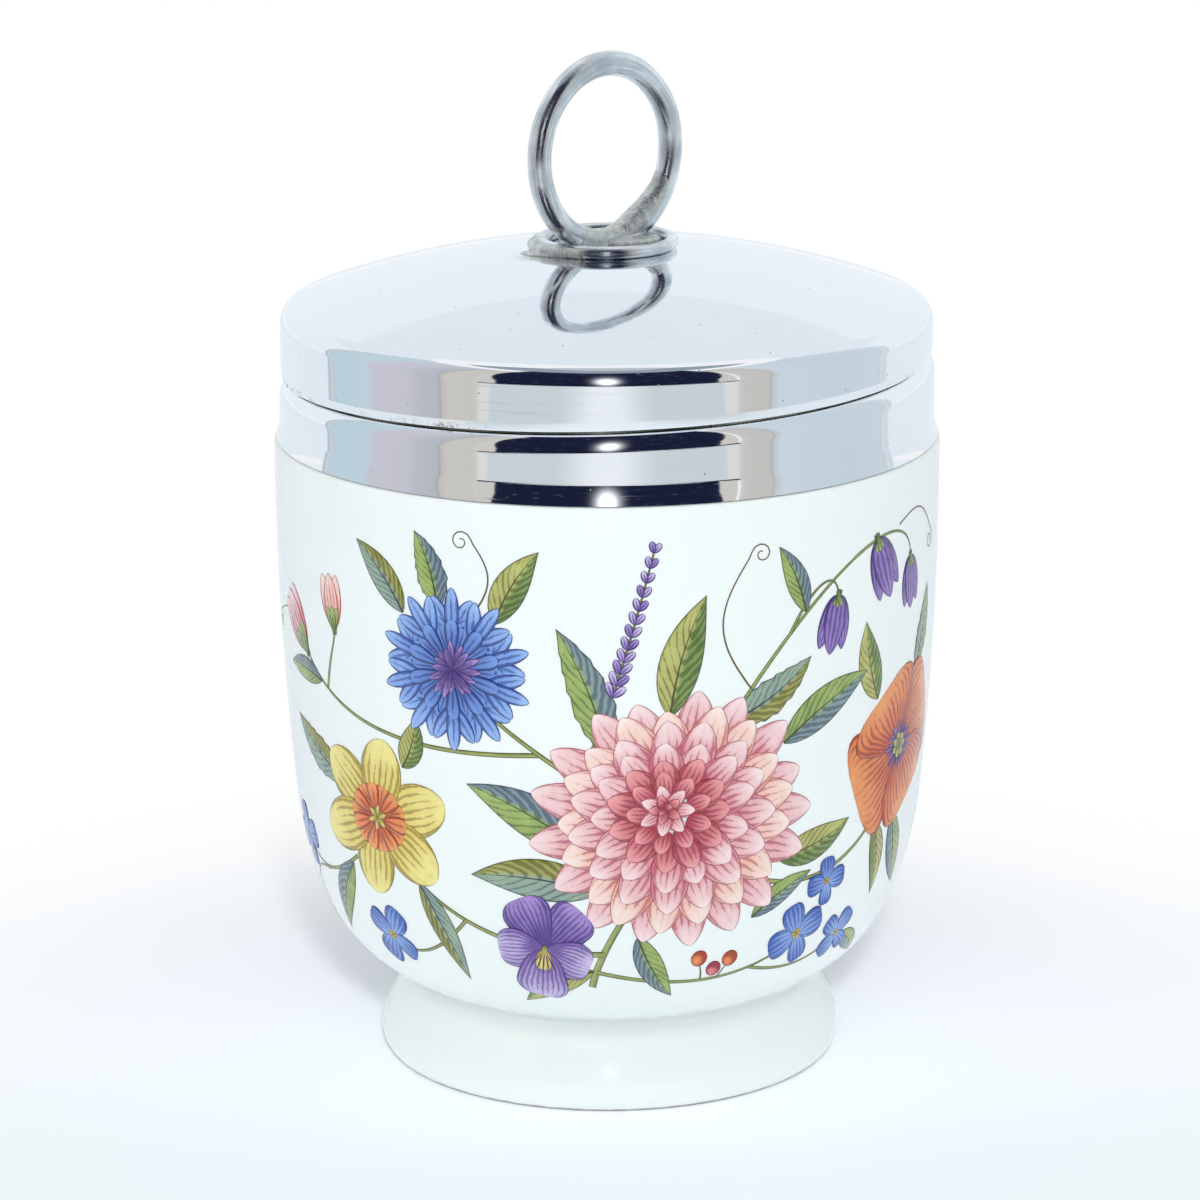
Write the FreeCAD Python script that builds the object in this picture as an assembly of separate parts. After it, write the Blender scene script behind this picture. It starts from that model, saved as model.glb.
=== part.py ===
import FreeCAD, Part
import math
import os

# Porcelain egg coddler: a porcelain cup on a foot ring, a plated metal collar bedded on its neck, and a
# domed metal lid with a wire lifting ring, which screws down onto the collar's helical shoulder.
# Millimetres and degrees, +Z up. The origin is the centre of the face that the foot stands on, and the
# lifting ring stands in the XZ plane.

Vector = FreeCAD.Vector
CENTRE = Vector(0, 0, 0)
UP = Vector(0, 0, 1)

# ---- Driving dimensions ----

# Porcelain cup, outside
bowl_radius = 33.7
bowl_rim_height = 64.9           # the glazed edge under the collar's foot
bowl_rim_rounding = 0.5
bowl_land = 4.9                  # from that edge down to where the side starts to draw in
side_curve_radius = 325.0        # the long, nearly straight curve of the side
belly_top_height = 26.0          # where the side runs into the belly
belly_curve_radius = 32.0
foot_join_height = 6.6
foot_flare = 1.3                 # how far the foot stands out past its join with the belly
foot_widest_height = 2.6
foot_ring_width = 3.6
foot_tuck = 0.5                  # the standing face's edge is this much inside the widest part
foot_draft = 0.4                 # slope of the foot ring's inner wall
foot_recess_depth = 3.5
foot_crease_rounding = 0.8
foot_side_rounding = 5.0
foot_edge_rounding = 0.7

# Porcelain cup, inside and neck
wall = 3.2
floor_thickness = 4.3
floor_rounding = 7.0
ledge_step = 1.5                 # the collar's band is bedded round this ledge
ledge_rise = 2.3
ledge_slope = 0.5                # how far the ledge climbs towards the neck
ledge_rounding = 1.2
neck_foot_rounding = 0.8
neck_wall = 2.8
neck_rise = 13.7                 # from the bowl's edge to the rim
throat_rise = 2.6                # the narrow throat starts this far above the bowl's edge
throat_rounding = 4.0

# Metal collar and its cement
metal_sheet = 0.6
collar_set_in = 0.6              # the band's upper part lies this far inside the bowl's side
collar_flare = 0.4               # the band's foot curves out towards the glaze
collar_flare_height = 2.4
collar_foot_gap = 0.1
band_low_height = 4.9            # the band's height at the bottom of the shoulder's climb
shoulder_rounding = 2.45
shoulder_flat = 0.05             # level part between the rounding and the threaded neck
shoulder_lean = 15.0             # how far off upright the rounding ends
collar_top_drop = 0.8            # the collar's top edge lies this far below the rim
cement_thickness = 0.8
cement_drop = 0.6                # the cement stops this far below the collar's top edge

# Screw closure: shoulder, lid edge and threads all share one helix
screw_pitch = 5.2
step_angle = 50.0                # where the shoulder's step is, round from +X
seat_gap = 0.35                  # between the rounded shoulder and the closed lid's edge
step_gap = 0.3
thread_height = 0.8
thread_base_width = 1.6
thread_crest_width = 0.8
thread_gap = 0.3                 # between the flanks, along the axis
thread_crest_gap = 0.35          # between each crest and the wall that it faces
collar_thread_start = 0.03       # in turns from the step
collar_thread_end = 0.88
lid_thread_start = 0.03
lid_thread_end = 0.88

# Lid
lid_sheet = 0.5
lid_set_in = 0.2                 # the skirt lies this far inside the collar's band
lid_headroom = 0.35              # from the collar's top edge up to the dome's inner face
dome_curve_radius = 92.0
lid_edge_rounding = 2.0
liner_top_gap = 0.15             # the liner stops this far below the skirt's rounded top
liner_fit_gap = 0.02

# Lifting ring, its base ring and the solder
ring_outer_diameter = 19.55
ring_wire = 2.45
ring_seat_gap = 0.02
base_ring_outer_diameter = 15.8
base_ring_wire = 1.8
base_ring_seat_gap = 0.08
solder_width = 4.6
solder_height = 1.5
solder_gap = 0.4                 # between the mound's ends and the base ring
solder_fit_gap = 0.02            # against the lifting ring and the dome

overrun = 1.0                    # how far a cutting shape runs past what it cuts


# ---- Outlines and turned shapes ----

def spot(radius, height):
    return Vector(radius, 0, height)


def arc(start, middle, end):
    return Part.Arc(start, middle, end).toShape()


def rounded_path(corners):
    """Edges through corners given as (radius, height) or (radius, height, rounding)."""
    spots = [spot(corner[0], corner[1]) for corner in corners]
    edges = []
    start = spots[0]
    for i in range(1, len(corners) - 1):
        rounding = corners[i][2] if len(corners[i]) == 3 else 0.0
        if rounding > 0:
            back = spots[i - 1] - spots[i]
            ahead = spots[i + 1] - spots[i]
            half_angle = back.getAngle(ahead) / 2
            room = 0.49 * min(back.Length, ahead.Length)
            setback = min(rounding / math.tan(half_angle), room)
            radius = setback * math.tan(half_angle)
            back.normalize()
            ahead.normalize()
            inward = back + ahead
            inward.normalize()
            arc_start = spots[i] + back * setback
            arc_end = spots[i] + ahead * setback
            arc_middle = spots[i] + inward * (radius / math.sin(half_angle) - radius)
            edges.append(Part.makeLine(start, arc_start))
            edges.append(arc(arc_start, arc_middle, arc_end))
            start = arc_end
        else:
            edges.append(Part.makeLine(start, spots[i]))
            start = spots[i]
    edges.append(Part.makeLine(start, spots[-1]))
    return edges


def closed_path(corners):
    """As rounded_path, back to the first corner, which stays sharp."""
    return rounded_path(list(corners) + [corners[0]])


def turned(edges):
    """The solid that a closed outline sweeps in one turn about the axis."""
    return Part.Face(Part.Wire(edges)).revolve(CENTRE, UP, 360)


def circle_spot(centre, radius, height):
    """The outer point of a circle of the outline at a height."""
    return spot(centre.x + math.sqrt(radius ** 2 - (height - centre.z) ** 2), height)


def edges_at(shape, height):
    """The closed round edges of a turned shape that lie at one height."""
    found = []
    for edge in shape.Edges:
        box = edge.BoundBox
        if abs(box.ZMin - height) < 0.001 and abs(box.ZMax - height) < 0.001 and edge.isClosed():
            found.append(edge)
    return found


# ---- The screw helix ----

def screw_swept(outline, start_turn, end_turn):
    """A solid that a closed outline sweeps along the screw helix. Its heights are counted from the
    shoulder's helix, which starts at the step."""
    turns = end_turn - start_turn
    spine = Part.Wire(Part.makeHelix(screw_pitch, screw_pitch * turns, collar_neck_radius).Edges)
    sweep = Part.BRepOffsetAPI.MakePipeShell(spine)
    sweep.setBiNormalMode(UP)
    sweep.add(Part.Wire(outline), False, False)
    sweep.build()
    sweep.makeSolid()
    solid = sweep.shape()
    solid.rotate(CENTRE, UP, step_angle + 360 * start_turn)
    solid.translate(Vector(0, 0, shoulder_low_height + screw_pitch * start_turn))
    return solid


def cut_by_screw(shape, outline, turned_by=0.0):
    """Takes away one full turn of a swept outline, in two halves that leave the step between their ends."""
    for half in (0.0, 0.5):
        cutter = screw_swept(outline, half, half + 0.5)
        cutter.rotate(CENTRE, UP, turned_by)
        shape = shape.cut(cutter)
    return shape


def stepped_plug(inset):
    """The collar's outside, or its inside when every face is set in by the sheet: a band with a flared foot
    and a helical, rounded shoulder, and the neck above it."""
    side_radius = collar_top_radius - inset
    neck_radius_here = collar_neck_radius - inset
    foot = spot(side_radius + collar_flare, collar_foot_height)
    flare_top = spot(side_radius, collar_foot_height + collar_flare_height)
    flare_curve = (collar_flare ** 2 + collar_flare_height ** 2) / (2 * collar_flare)
    flare_middle = spot(0, collar_foot_height + collar_flare_height / 2)
    middle_drop = flare_top.z - flare_middle.z
    flare_middle.x = side_radius + flare_curve - math.sqrt(flare_curve ** 2 - middle_drop ** 2)
    band_top_height = shoulder_low_height + screw_pitch + overrun
    band = turned([arc(foot, flare_middle, flare_top)] + rounded_path([
        (side_radius, flare_top.z),
        (side_radius, band_top_height),
        (0, band_top_height),
        (0, collar_foot_height),
        (foot.x, collar_foot_height),
    ]))
    rounding = shoulder_rounding - inset
    corner_radius = side_radius - rounding * (1 - 1 / math.tan(math.radians((90 + shoulder_lean) / 2)))
    reach = collar_flare + overrun
    drop = (side_radius + reach - corner_radius) / math.tan(math.radians(shoulder_lean))
    clear = screw_pitch + 2 * overrun
    shoulder = closed_path([
        (neck_radius_here / 2, -inset),
        (corner_radius, -inset, rounding),
        (side_radius + reach, -inset - drop),
        (side_radius + reach, clear),
        (neck_radius_here / 2, clear),
    ])
    step_wall = math.degrees(inset / side_radius)
    band = cut_by_screw(band, shoulder, -step_wall)
    neck_height = collar_top_height - collar_foot_height
    neck = Part.makeCylinder(neck_radius_here, neck_height, spot(0, collar_foot_height))
    return band.fuse(neck)


def seat_rise(inner_radius):
    """How far above the shoulder's helix an edge of this inner radius clears the rounding by the seat gap."""
    rounding_radius = collar_top_radius - shoulder_rounding
    reach = shoulder_rounding + seat_gap
    return math.sqrt(reach ** 2 - (inner_radius - rounding_radius) ** 2) - shoulder_rounding


def thread_outline(root_radius, crest_radius, rise):
    """The thread's section, sunk a little below its root so that it joins the wall it stands on."""
    sunk = root_radius + math.copysign(metal_sheet / 2, root_radius - crest_radius)
    return closed_path([
        (sunk, rise - thread_base_width / 2),
        (root_radius, rise - thread_base_width / 2),
        (crest_radius, rise - thread_crest_width / 2),
        (crest_radius, rise + thread_crest_width / 2),
        (root_radius, rise + thread_base_width / 2),
        (sunk, rise + thread_base_width / 2),
    ])


# ---- Sizes that follow from the driving dimensions ----

bowl_widest_height = bowl_rim_height - bowl_land
side_centre = spot(bowl_radius - side_curve_radius, bowl_widest_height)
belly_top = circle_spot(side_centre, side_curve_radius, belly_top_height)
toward_side_centre = side_centre - belly_top
toward_side_centre.normalize()
belly_centre = belly_top + toward_side_centre * belly_curve_radius
foot_join_radius = circle_spot(belly_centre, belly_curve_radius, foot_join_height).x
foot_radius = foot_join_radius + foot_flare
cup_floor_height = foot_recess_depth + floor_thickness
rim_height = bowl_rim_height + neck_rise

collar_foot_height = bowl_rim_height + collar_foot_gap
collar_top_radius = bowl_radius - collar_set_in
collar_neck_radius = collar_top_radius - shoulder_rounding - shoulder_flat
collar_top_height = rim_height - collar_top_drop
shoulder_low_height = collar_foot_height + band_low_height
neck_radius = collar_neck_radius - metal_sheet - cement_thickness
mouth_radius = neck_radius - neck_wall

thread_crest_radius = collar_neck_radius + thread_height
liner_bore_radius = thread_crest_radius + thread_crest_gap
lid_thread_crest_radius = collar_neck_radius + thread_crest_gap
lid_thread_rise = seat_rise(liner_bore_radius) + thread_base_width / 2
thread_mean_width = (thread_base_width + thread_crest_width) / 2
collar_thread_rise = lid_thread_rise + thread_mean_width + thread_gap

lid_radius = collar_top_radius - lid_set_in
dome_inner_radius = dome_curve_radius - lid_sheet
dome_centre_drop = math.sqrt(dome_inner_radius ** 2 - collar_neck_radius ** 2)
dome_centre_height = collar_top_height + lid_headroom - dome_centre_drop
dome_centre = spot(0, dome_centre_height)
lid_top_height = dome_centre_height + dome_curve_radius
lid_edge_radius = lid_radius - lid_edge_rounding
lid_edge_rise = math.sqrt((dome_curve_radius - lid_edge_rounding) ** 2 - lid_edge_radius ** 2)
lid_edge_centre = spot(lid_edge_radius, dome_centre_height + lid_edge_rise)
liner_top_height = lid_edge_centre.z - liner_top_gap
lid_turned_by = math.degrees(step_gap / lid_radius)

base_ring_radius = (base_ring_outer_diameter - base_ring_wire) / 2
solder_length = base_ring_outer_diameter - 2 * base_ring_wire - 2 * solder_gap


def dome_height(radius, inset=0.0):
    """Height of the dome's outer face, or of a face set in from it, at a distance from the axis."""
    return dome_centre_height + math.sqrt((dome_curve_radius - inset) ** 2 - radius ** 2)


# ---- Cup ----

def bowl_edges(inset, low_height, high_height):
    """The belly and side arcs of the bowl's outline, set in by a wall, from a low to a high point."""
    belly_radius = belly_curve_radius - inset
    side_radius = side_curve_radius - inset
    low = circle_spot(belly_centre, belly_radius, low_height)
    join = belly_top + toward_side_centre * inset
    high = circle_spot(side_centre, side_radius, high_height)
    belly_middle = circle_spot(belly_centre, belly_radius, (low.z + join.z) / 2)
    side_middle = circle_spot(side_centre, side_radius, (join.z + high.z) / 2)
    return [arc(low, belly_middle, join), arc(join, side_middle, high)]


def make_bowl():
    underside = circle_spot(belly_centre, belly_curve_radius, foot_recess_depth)
    inside_top = circle_spot(side_centre, side_curve_radius - wall, bowl_widest_height)
    floor_edge = circle_spot(belly_centre, belly_curve_radius - wall, cup_floor_height)
    ledge_radius = bowl_radius - ledge_step
    ledge_height = bowl_rim_height + ledge_rise
    rim_rounding = neck_wall / 2
    edges = [Part.makeLine(spot(0, foot_recess_depth), underside)]
    edges += bowl_edges(0, foot_recess_depth, bowl_widest_height)
    edges += rounded_path([
        (bowl_radius, bowl_widest_height),
        (bowl_radius, bowl_rim_height, bowl_rim_rounding),
        (ledge_radius, bowl_rim_height),
        (ledge_radius, ledge_height, ledge_rounding),
        (neck_radius, ledge_height + ledge_slope, neck_foot_rounding),
        (neck_radius, rim_height, rim_rounding),
        (mouth_radius, rim_height, rim_rounding),
        (mouth_radius, bowl_rim_height + throat_rise, throat_rounding),
        (inside_top.x, bowl_widest_height),
    ])
    edges += reversed(bowl_edges(wall, cup_floor_height, bowl_widest_height))
    edges.append(Part.makeLine(floor_edge, spot(0, cup_floor_height)))
    edges.append(Part.makeLine(spot(0, cup_floor_height), spot(0, foot_recess_depth)))
    bowl = turned(edges)
    return bowl.makeFillet(floor_rounding, edges_at(bowl, cup_floor_height))


def make_cup():
    bowl = make_bowl()
    foot_inner_radius = foot_radius - foot_ring_width
    foot = turned(closed_path([
        (foot_inner_radius - foot_draft, foot_recess_depth),
        (foot_inner_radius, 0, foot_edge_rounding),
        (foot_radius - foot_tuck, 0, foot_edge_rounding),
        (foot_radius, foot_widest_height, foot_side_rounding),
        (foot_join_radius, foot_join_height),
        (foot_join_radius - wall, foot_join_height),
    ]))
    cup = bowl.fuse(foot).removeSplitter()
    return cup.makeFillet(foot_crease_rounding, edges_at(cup, foot_join_height))


# ---- Collar and its cement ----

def make_collar(inside):
    thread = screw_swept(thread_outline(collar_neck_radius, thread_crest_radius, collar_thread_rise),
                         collar_thread_start, collar_thread_end)
    return stepped_plug(0).fuse(thread).cut(inside)


def make_collar_cement(inside, cup):
    """What fills the space between the collar's sheet and the porcelain."""
    top = collar_top_height - cement_drop
    above = Part.makeCylinder(bowl_radius, rim_height, spot(0, top))
    core = Part.makeCylinder(neck_radius - neck_wall / 2, rim_height)
    return inside.cut(above).cut(cup).cut(core)


# ---- Lid ----

def lid_edge_cutter(inner_radius):
    """Everything below a helical edge that seats on the shoulder, as an outline for the screw sweep."""
    edge = seat_rise(inner_radius)
    clear = screw_pitch + overrun
    return closed_path([
        (mouth_radius, edge),
        (mouth_radius, edge - clear),
        (lid_radius + overrun, edge - clear),
        (lid_radius + overrun, edge),
    ])


def lid_side_edges(inset, skirt_foot):
    """The lid's outline from its top over the rounded edge to the skirt's foot, set in by the sheet."""
    outward = lid_edge_centre - dome_centre
    outward.normalize()
    bend = outward + Vector(1, 0, 0)
    bend.normalize()
    rounding = lid_edge_rounding - inset
    top = spot(0, lid_top_height - inset)
    dome_edge = lid_edge_centre + outward * rounding
    dome_middle = spot(dome_edge.x / 2, dome_height(dome_edge.x / 2, inset))
    skirt_top = lid_edge_centre + Vector(rounding, 0, 0)
    return [
        arc(top, dome_middle, dome_edge),
        arc(dome_edge, lid_edge_centre + bend * rounding, skirt_top),
        Part.makeLine(skirt_top, spot(lid_radius - inset, skirt_foot)),
    ]


def make_lid_shell():
    inner_radius = lid_radius - lid_sheet
    skirt_foot = shoulder_low_height + seat_rise(inner_radius)
    edges = lid_side_edges(0, skirt_foot)
    edges.append(Part.makeLine(spot(lid_radius, skirt_foot), spot(inner_radius, skirt_foot)))
    edges += reversed(lid_side_edges(lid_sheet, skirt_foot))
    edges.append(Part.makeLine(spot(0, lid_top_height - lid_sheet), spot(0, lid_top_height)))
    return cut_by_screw(turned(edges), lid_edge_cutter(inner_radius), lid_turned_by)


def make_lid_thread_ring():
    liner_radius = lid_radius - lid_sheet - liner_fit_gap
    liner = turned(closed_path([
        (liner_bore_radius, shoulder_low_height),
        (liner_radius, shoulder_low_height),
        (liner_radius, liner_top_height),
        (liner_bore_radius, liner_top_height),
    ]))
    liner = cut_by_screw(liner, lid_edge_cutter(liner_bore_radius), lid_turned_by)
    thread = screw_swept(thread_outline(liner_bore_radius, lid_thread_crest_radius, lid_thread_rise),
                         lid_thread_start, lid_thread_end)
    return liner.fuse(thread)


# ---- Rings and solder ----

def wire_ring(outer_diameter, wire, centre, direction, growth=0.0):
    middle_radius = (outer_diameter - wire) / 2
    return Part.makeTorus(middle_radius, wire / 2 + growth, centre, direction)


def make_lifting_ring(growth=0.0):
    centre = spot(0, lid_top_height + ring_seat_gap + ring_outer_diameter / 2)
    return wire_ring(ring_outer_diameter, ring_wire, centre, Vector(0, 1, 0), growth)


def make_base_ring():
    slope = math.asin(base_ring_radius / dome_curve_radius)
    rise = (base_ring_wire / 2 + base_ring_seat_gap) / math.cos(slope)
    centre = spot(0, dome_height(base_ring_radius) + rise)
    return wire_ring(base_ring_outer_diameter, base_ring_wire, centre, UP)


def make_ring_solder():
    """A low mound on the dome's top, under and beside the lifting ring's foot."""
    mound = Part.makeSphere(1, CENTRE)
    stretch = FreeCAD.Matrix()
    stretch.scale(solder_length / 2, solder_width / 2, solder_height)
    mound = mound.transformGeometry(stretch)
    mound.translate(spot(0, lid_top_height))
    dome_ball = Part.makeSphere(dome_curve_radius + solder_fit_gap, dome_centre)
    mound = mound.cut(dome_ball)
    return mound.cut(make_lifting_ring(solder_fit_gap))


# ---- Write each piece ----

os.makedirs("parts", exist_ok=True)
cup = make_cup()
collar_inside = stepped_plug(metal_sheet)
pieces = {
    "cup": cup,
    "collar": make_collar(collar_inside),
    "collar_cement": make_collar_cement(collar_inside, cup),
    "lid_shell": make_lid_shell(),
    "lid_thread_ring": make_lid_thread_ring(),
    "lifting_ring": make_lifting_ring(),
    "base_ring": make_base_ring(),
    "ring_solder": make_ring_solder(),
}
for name, shape in pieces.items():
    shape.exportStep("parts/" + name + ".step")
    print(name, shape.isValid(), len(shape.Solids), round(shape.Volume, 2), shape.BoundBox)
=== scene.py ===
import math
import random

import bpy
from mathutils import Matrix, Vector


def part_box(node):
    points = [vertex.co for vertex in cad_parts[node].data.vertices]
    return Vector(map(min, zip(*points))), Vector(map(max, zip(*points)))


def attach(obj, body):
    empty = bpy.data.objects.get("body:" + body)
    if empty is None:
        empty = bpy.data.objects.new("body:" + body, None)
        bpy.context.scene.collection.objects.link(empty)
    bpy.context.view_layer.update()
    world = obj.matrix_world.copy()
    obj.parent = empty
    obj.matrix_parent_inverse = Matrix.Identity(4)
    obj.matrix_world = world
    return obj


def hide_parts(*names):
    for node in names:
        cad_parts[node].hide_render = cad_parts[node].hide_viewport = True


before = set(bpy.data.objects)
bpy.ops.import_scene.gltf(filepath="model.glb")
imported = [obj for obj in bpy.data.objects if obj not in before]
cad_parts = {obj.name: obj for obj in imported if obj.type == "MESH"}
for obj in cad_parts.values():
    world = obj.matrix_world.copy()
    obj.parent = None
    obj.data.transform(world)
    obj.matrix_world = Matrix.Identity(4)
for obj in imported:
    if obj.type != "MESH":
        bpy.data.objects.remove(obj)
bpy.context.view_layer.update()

MM = 0.001

# ---- Camera ----
# A long lens on a tripod, a little above the lid, that looks past the lifting ring from its left.

look_azimuth = math.radians(-40.0)
tripod_distance = 485.0
tripod_height = 176.0
tilt_down = math.radians(14.9)
pan = math.radians(0.094)
roll = math.radians(-0.3)
sensor_width = 36.0
lens_length = 147.0

bpy.ops.object.select_all(action="DESELECT")
bpy.ops.object.camera_add(location=(
    math.sin(look_azimuth) * tripod_distance * MM,
    -math.cos(look_azimuth) * tripod_distance * MM,
    tripod_height * MM,
))
camera = bpy.context.object
camera.name = "camera"
camera.data.sensor_width = sensor_width
camera.data.lens = lens_length
aim = (
    Matrix.Rotation(look_azimuth + pan, 3, "Z")
    @ Matrix.Rotation(math.pi / 2 - tilt_down, 3, "X")
    @ Matrix.Rotation(roll, 3, "Z")
)
camera.rotation_euler = aim.to_euler()
bpy.context.scene.camera = camera
bpy.context.scene.view_settings.view_transform = "Standard"

face_camera = look_azimuth - math.pi / 2
camera_right = Vector((math.cos(look_azimuth), math.sin(look_azimuth), 0.0))
camera_near = Vector((math.cos(face_camera), math.sin(face_camera), 0.0))

# ---- Light tent and floor ----
# A small white tent: a pale floor that ends in front, two shaded side walls with beige hems, a dark room
# beyond the open front, and soft lamps round it. The walls and the room are glowing cards with their shade
# and light painted in, and show only as reflections.

floor_size = 2600.0
floor_front_edge = 470.0
floor_colour = "#F4F7FB"
whitening_start = 30.0
whitening_end = 105.0
side_wall_radius = 240.0
side_wall_height = 430.0
dark_room_radius = 640.0
table_edge = 462.0
table_edge_blur = 12.0
flash_width = 34.0
flash_low = 250.0
flash_high = 400.0
lamp_aim_height = 45.0
shade_fill = "#E3EAF4"
shade_fill_strength = 0.42


def linear_colour(code):
    """A colour written as sRGB hex, as the linear values that sockets take."""
    values = [int(code[i:i + 2], 16) / 255 for i in (1, 3, 5)]
    values = [v / 12.92 if v <= 0.04045 else ((v + 0.055) / 1.055) ** 2.4 for v in values]
    return (*values, 1.0)


def set_sockets(node, sockets):
    """Sets a node's inputs. sockets maps an input's name or number to a value, a hex colour, an output, or a
    node, whose first output in use it takes."""
    for socket, value in sockets.items():
        if isinstance(value, bpy.types.Node):
            value = next(output for output in value.outputs if output.enabled)
        if isinstance(value, bpy.types.NodeSocket):
            node.id_data.links.new(value, node.inputs[socket])
        else:
            node.inputs[socket].default_value = linear_colour(value) if isinstance(value, str) else value


def add_node(tree, kind, sockets=None, **settings):
    """Adds a node with its settings and links."""
    node = tree.nodes.new("ShaderNode" + kind)
    for setting, value in settings.items():
        setattr(node, setting, value)
    set_sockets(node, sockets or {})
    return node


world = bpy.data.worlds.new("white_surround")
bpy.context.scene.world = world
world.use_nodes = True
sky = world.node_tree
sky.nodes.clear()
fill = add_node(sky, "Background", {"Color": shade_fill, "Strength": shade_fill_strength})
white = add_node(sky, "Background", {"Color": "#FFFFFF", "Strength": 1.0})
ray = add_node(sky, "LightPath").outputs
direct = add_node(sky, "Math", {0: ray["Is Camera Ray"], 1: ray["Is Glossy Ray"]}, operation="MAXIMUM")
seen = add_node(sky, "Math", {0: direct, 1: ray["Is Transmission Ray"]}, operation="MAXIMUM")
surround = add_node(sky, "MixShader", {0: seen, 1: fill, 2: white})
add_node(sky, "OutputWorld", {0: surround})

bpy.ops.object.select_all(action="DESELECT")
bpy.ops.mesh.primitive_plane_add(size=floor_size * MM)
floor = bpy.context.object
floor.name = "floor"
bpy.ops.object.mode_set(mode="EDIT")
bpy.ops.mesh.select_all(action="SELECT")
bpy.ops.mesh.subdivide(number_cuts=8)
bpy.ops.transform.translate(value=(0, (floor_size / 2 - floor_front_edge) * MM, 0))
bpy.ops.object.mode_set(mode="OBJECT")
floor.data.transform(Matrix.Rotation(look_azimuth, 4, "Z"))

# Matt pale paper with a faint tooth, which whitens with distance as a brightly lit sweep does, with painted
# shade that greys it towards the open front. Metal sees it as a painted reflection: a glowing bright pool of
# light round the cup, with pale wings beside it and the table's dark edge in front.
cloth_paper = bpy.data.materials.new("pale_paper_sweep")
cloth_paper.use_nodes = True
paper = cloth_paper.node_tree
paper.nodes.clear()
on_floor = add_node(paper, "TexCoord").outputs["Object"]
flat_distance = add_node(paper, "VectorMath", {0: on_floor}, operation="LENGTH")
far_white = add_node(paper, "MapRange", {
    "Value": flat_distance, "From Min": whitening_start * MM, "From Max": whitening_end * MM, "To Min": 0.20,
    "To Max": 1.0}, interpolation_type="SMOOTHERSTEP")
frontwards = add_node(paper, "VectorMath", {0: on_floor, 1: camera_near}, operation="DOT_PRODUCT")
nearer = add_node(paper, "MapRange", {
    "Value": frontwards, "From Min": -70 * MM, "From Max": 45 * MM}, interpolation_type="SMOOTHSTEP")
# Painted shade: the whitening glow turns a little greyer towards the open front.
white_colour = add_node(paper, "Mix", {0: nearer, 6: "#FFFFFF", 7: "#EFF6F9"}, data_type="RGBA")
weave = add_node(paper, "TexNoise", {"Vector": on_floor, "Scale": 900.0, "Detail": 3.0})
weave_bump = add_node(paper, "Bump", {"Height": weave, "Strength": 0.05, "Distance": 0.2 * MM})
# Painted shade: the paper's own colour is greyed towards the open front, where less light reaches it.
front_painted_shade = add_node(paper, "MapRange", {
    "Value": frontwards, "From Min": -6 * MM, "From Max": 50 * MM}, interpolation_type="SMOOTHSTEP")
sheet_colour = add_node(paper, "Mix", {0: front_painted_shade, 6: floor_colour, 7: "#DCE3E6"}, data_type="RGBA")
sheet = add_node(paper, "BsdfDiffuse", {"Color": sheet_colour, "Normal": weave_bump})
glow = add_node(paper, "Emission", {"Color": white_colour, "Strength": 1.0})
rays = add_node(paper, "LightPath")
whitening = add_node(paper, "Math", {0: far_white, 1: rays.outputs["Is Camera Ray"]}, operation="MULTIPLY")
seen_floor = add_node(paper, "MixShader", {0: whitening, 1: sheet, 2: glow})
# Painted reflection for the metal: a glowing bright pool of light round the cup, pale wings beside it, and
# the dark room past the table's edge.
sideways = add_node(paper, "VectorMath", {0: on_floor, 1: camera_right}, operation="DOT_PRODUCT")
off_centre = add_node(paper, "Math", {0: sideways}, operation="ABSOLUTE")
pool = add_node(paper, "MapRange", {
    "Value": off_centre, "From Min": 12 * MM, "From Max": 105 * MM}, interpolation_type="SMOOTHSTEP")
pool_colour = add_node(paper, "Mix", {0: pool, 6: "#F6FAFC", 7: "#D3DBDF"}, data_type="RGBA")
in_front = add_node(paper, "MapRange", {"Value": frontwards, "From Min": 60 * MM, "From Max": 150 * MM})
table_line = add_node(paper, "Math", {0: off_centre, 1: 1.15}, operation="MULTIPLY")
table_spot = add_node(paper, "CombineXYZ", {0: table_line, 1: frontwards})
table_far = add_node(paper, "VectorMath", {0: table_spot}, operation="LENGTH")
past_table = add_node(paper, "MapRange", {
    "Value": table_far, "From Min": table_edge * MM, "From Max": (table_edge + table_edge_blur) * MM})
wing_line = add_node(paper, "Math", {0: frontwards, 1: 0.644, 2: 45.4 * MM}, operation="MULTIPLY_ADD")
past_wing = add_node(paper, "Math", {0: off_centre, 1: wing_line}, operation="SUBTRACT")
wing = add_node(paper, "MapRange", {"Value": past_wing, "From Min": 0.0, "From Max": 5 * MM})
winged = add_node(paper, "Mix", {0: wing, 6: pool_colour, 7: "#E6E5E1"}, data_type="RGBA")
table_top = add_node(paper, "Mix", {0: past_table, 6: winged, 7: "#1B2038"}, data_type="RGBA")
metal_colour = add_node(paper, "Mix", {0: in_front, 6: "#EEF5FA", 7: table_top}, data_type="RGBA")
pool_glow = add_node(paper, "Emission", {"Color": metal_colour, "Strength": 1.0})
beyond = add_node(paper, "MapRange", {"Value": flat_distance, "From Min": 90 * MM, "From Max": 140 * MM})
in_metal = add_node(paper, "Math", {0: rays.outputs["Is Glossy Ray"], 1: beyond}, operation="MULTIPLY")
sweep = add_node(paper, "MixShader", {0: in_metal, 1: seen_floor, 2: pool_glow})
add_node(paper, "OutputMaterial", {0: sweep})
floor.data.materials.append(cloth_paper)


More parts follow.
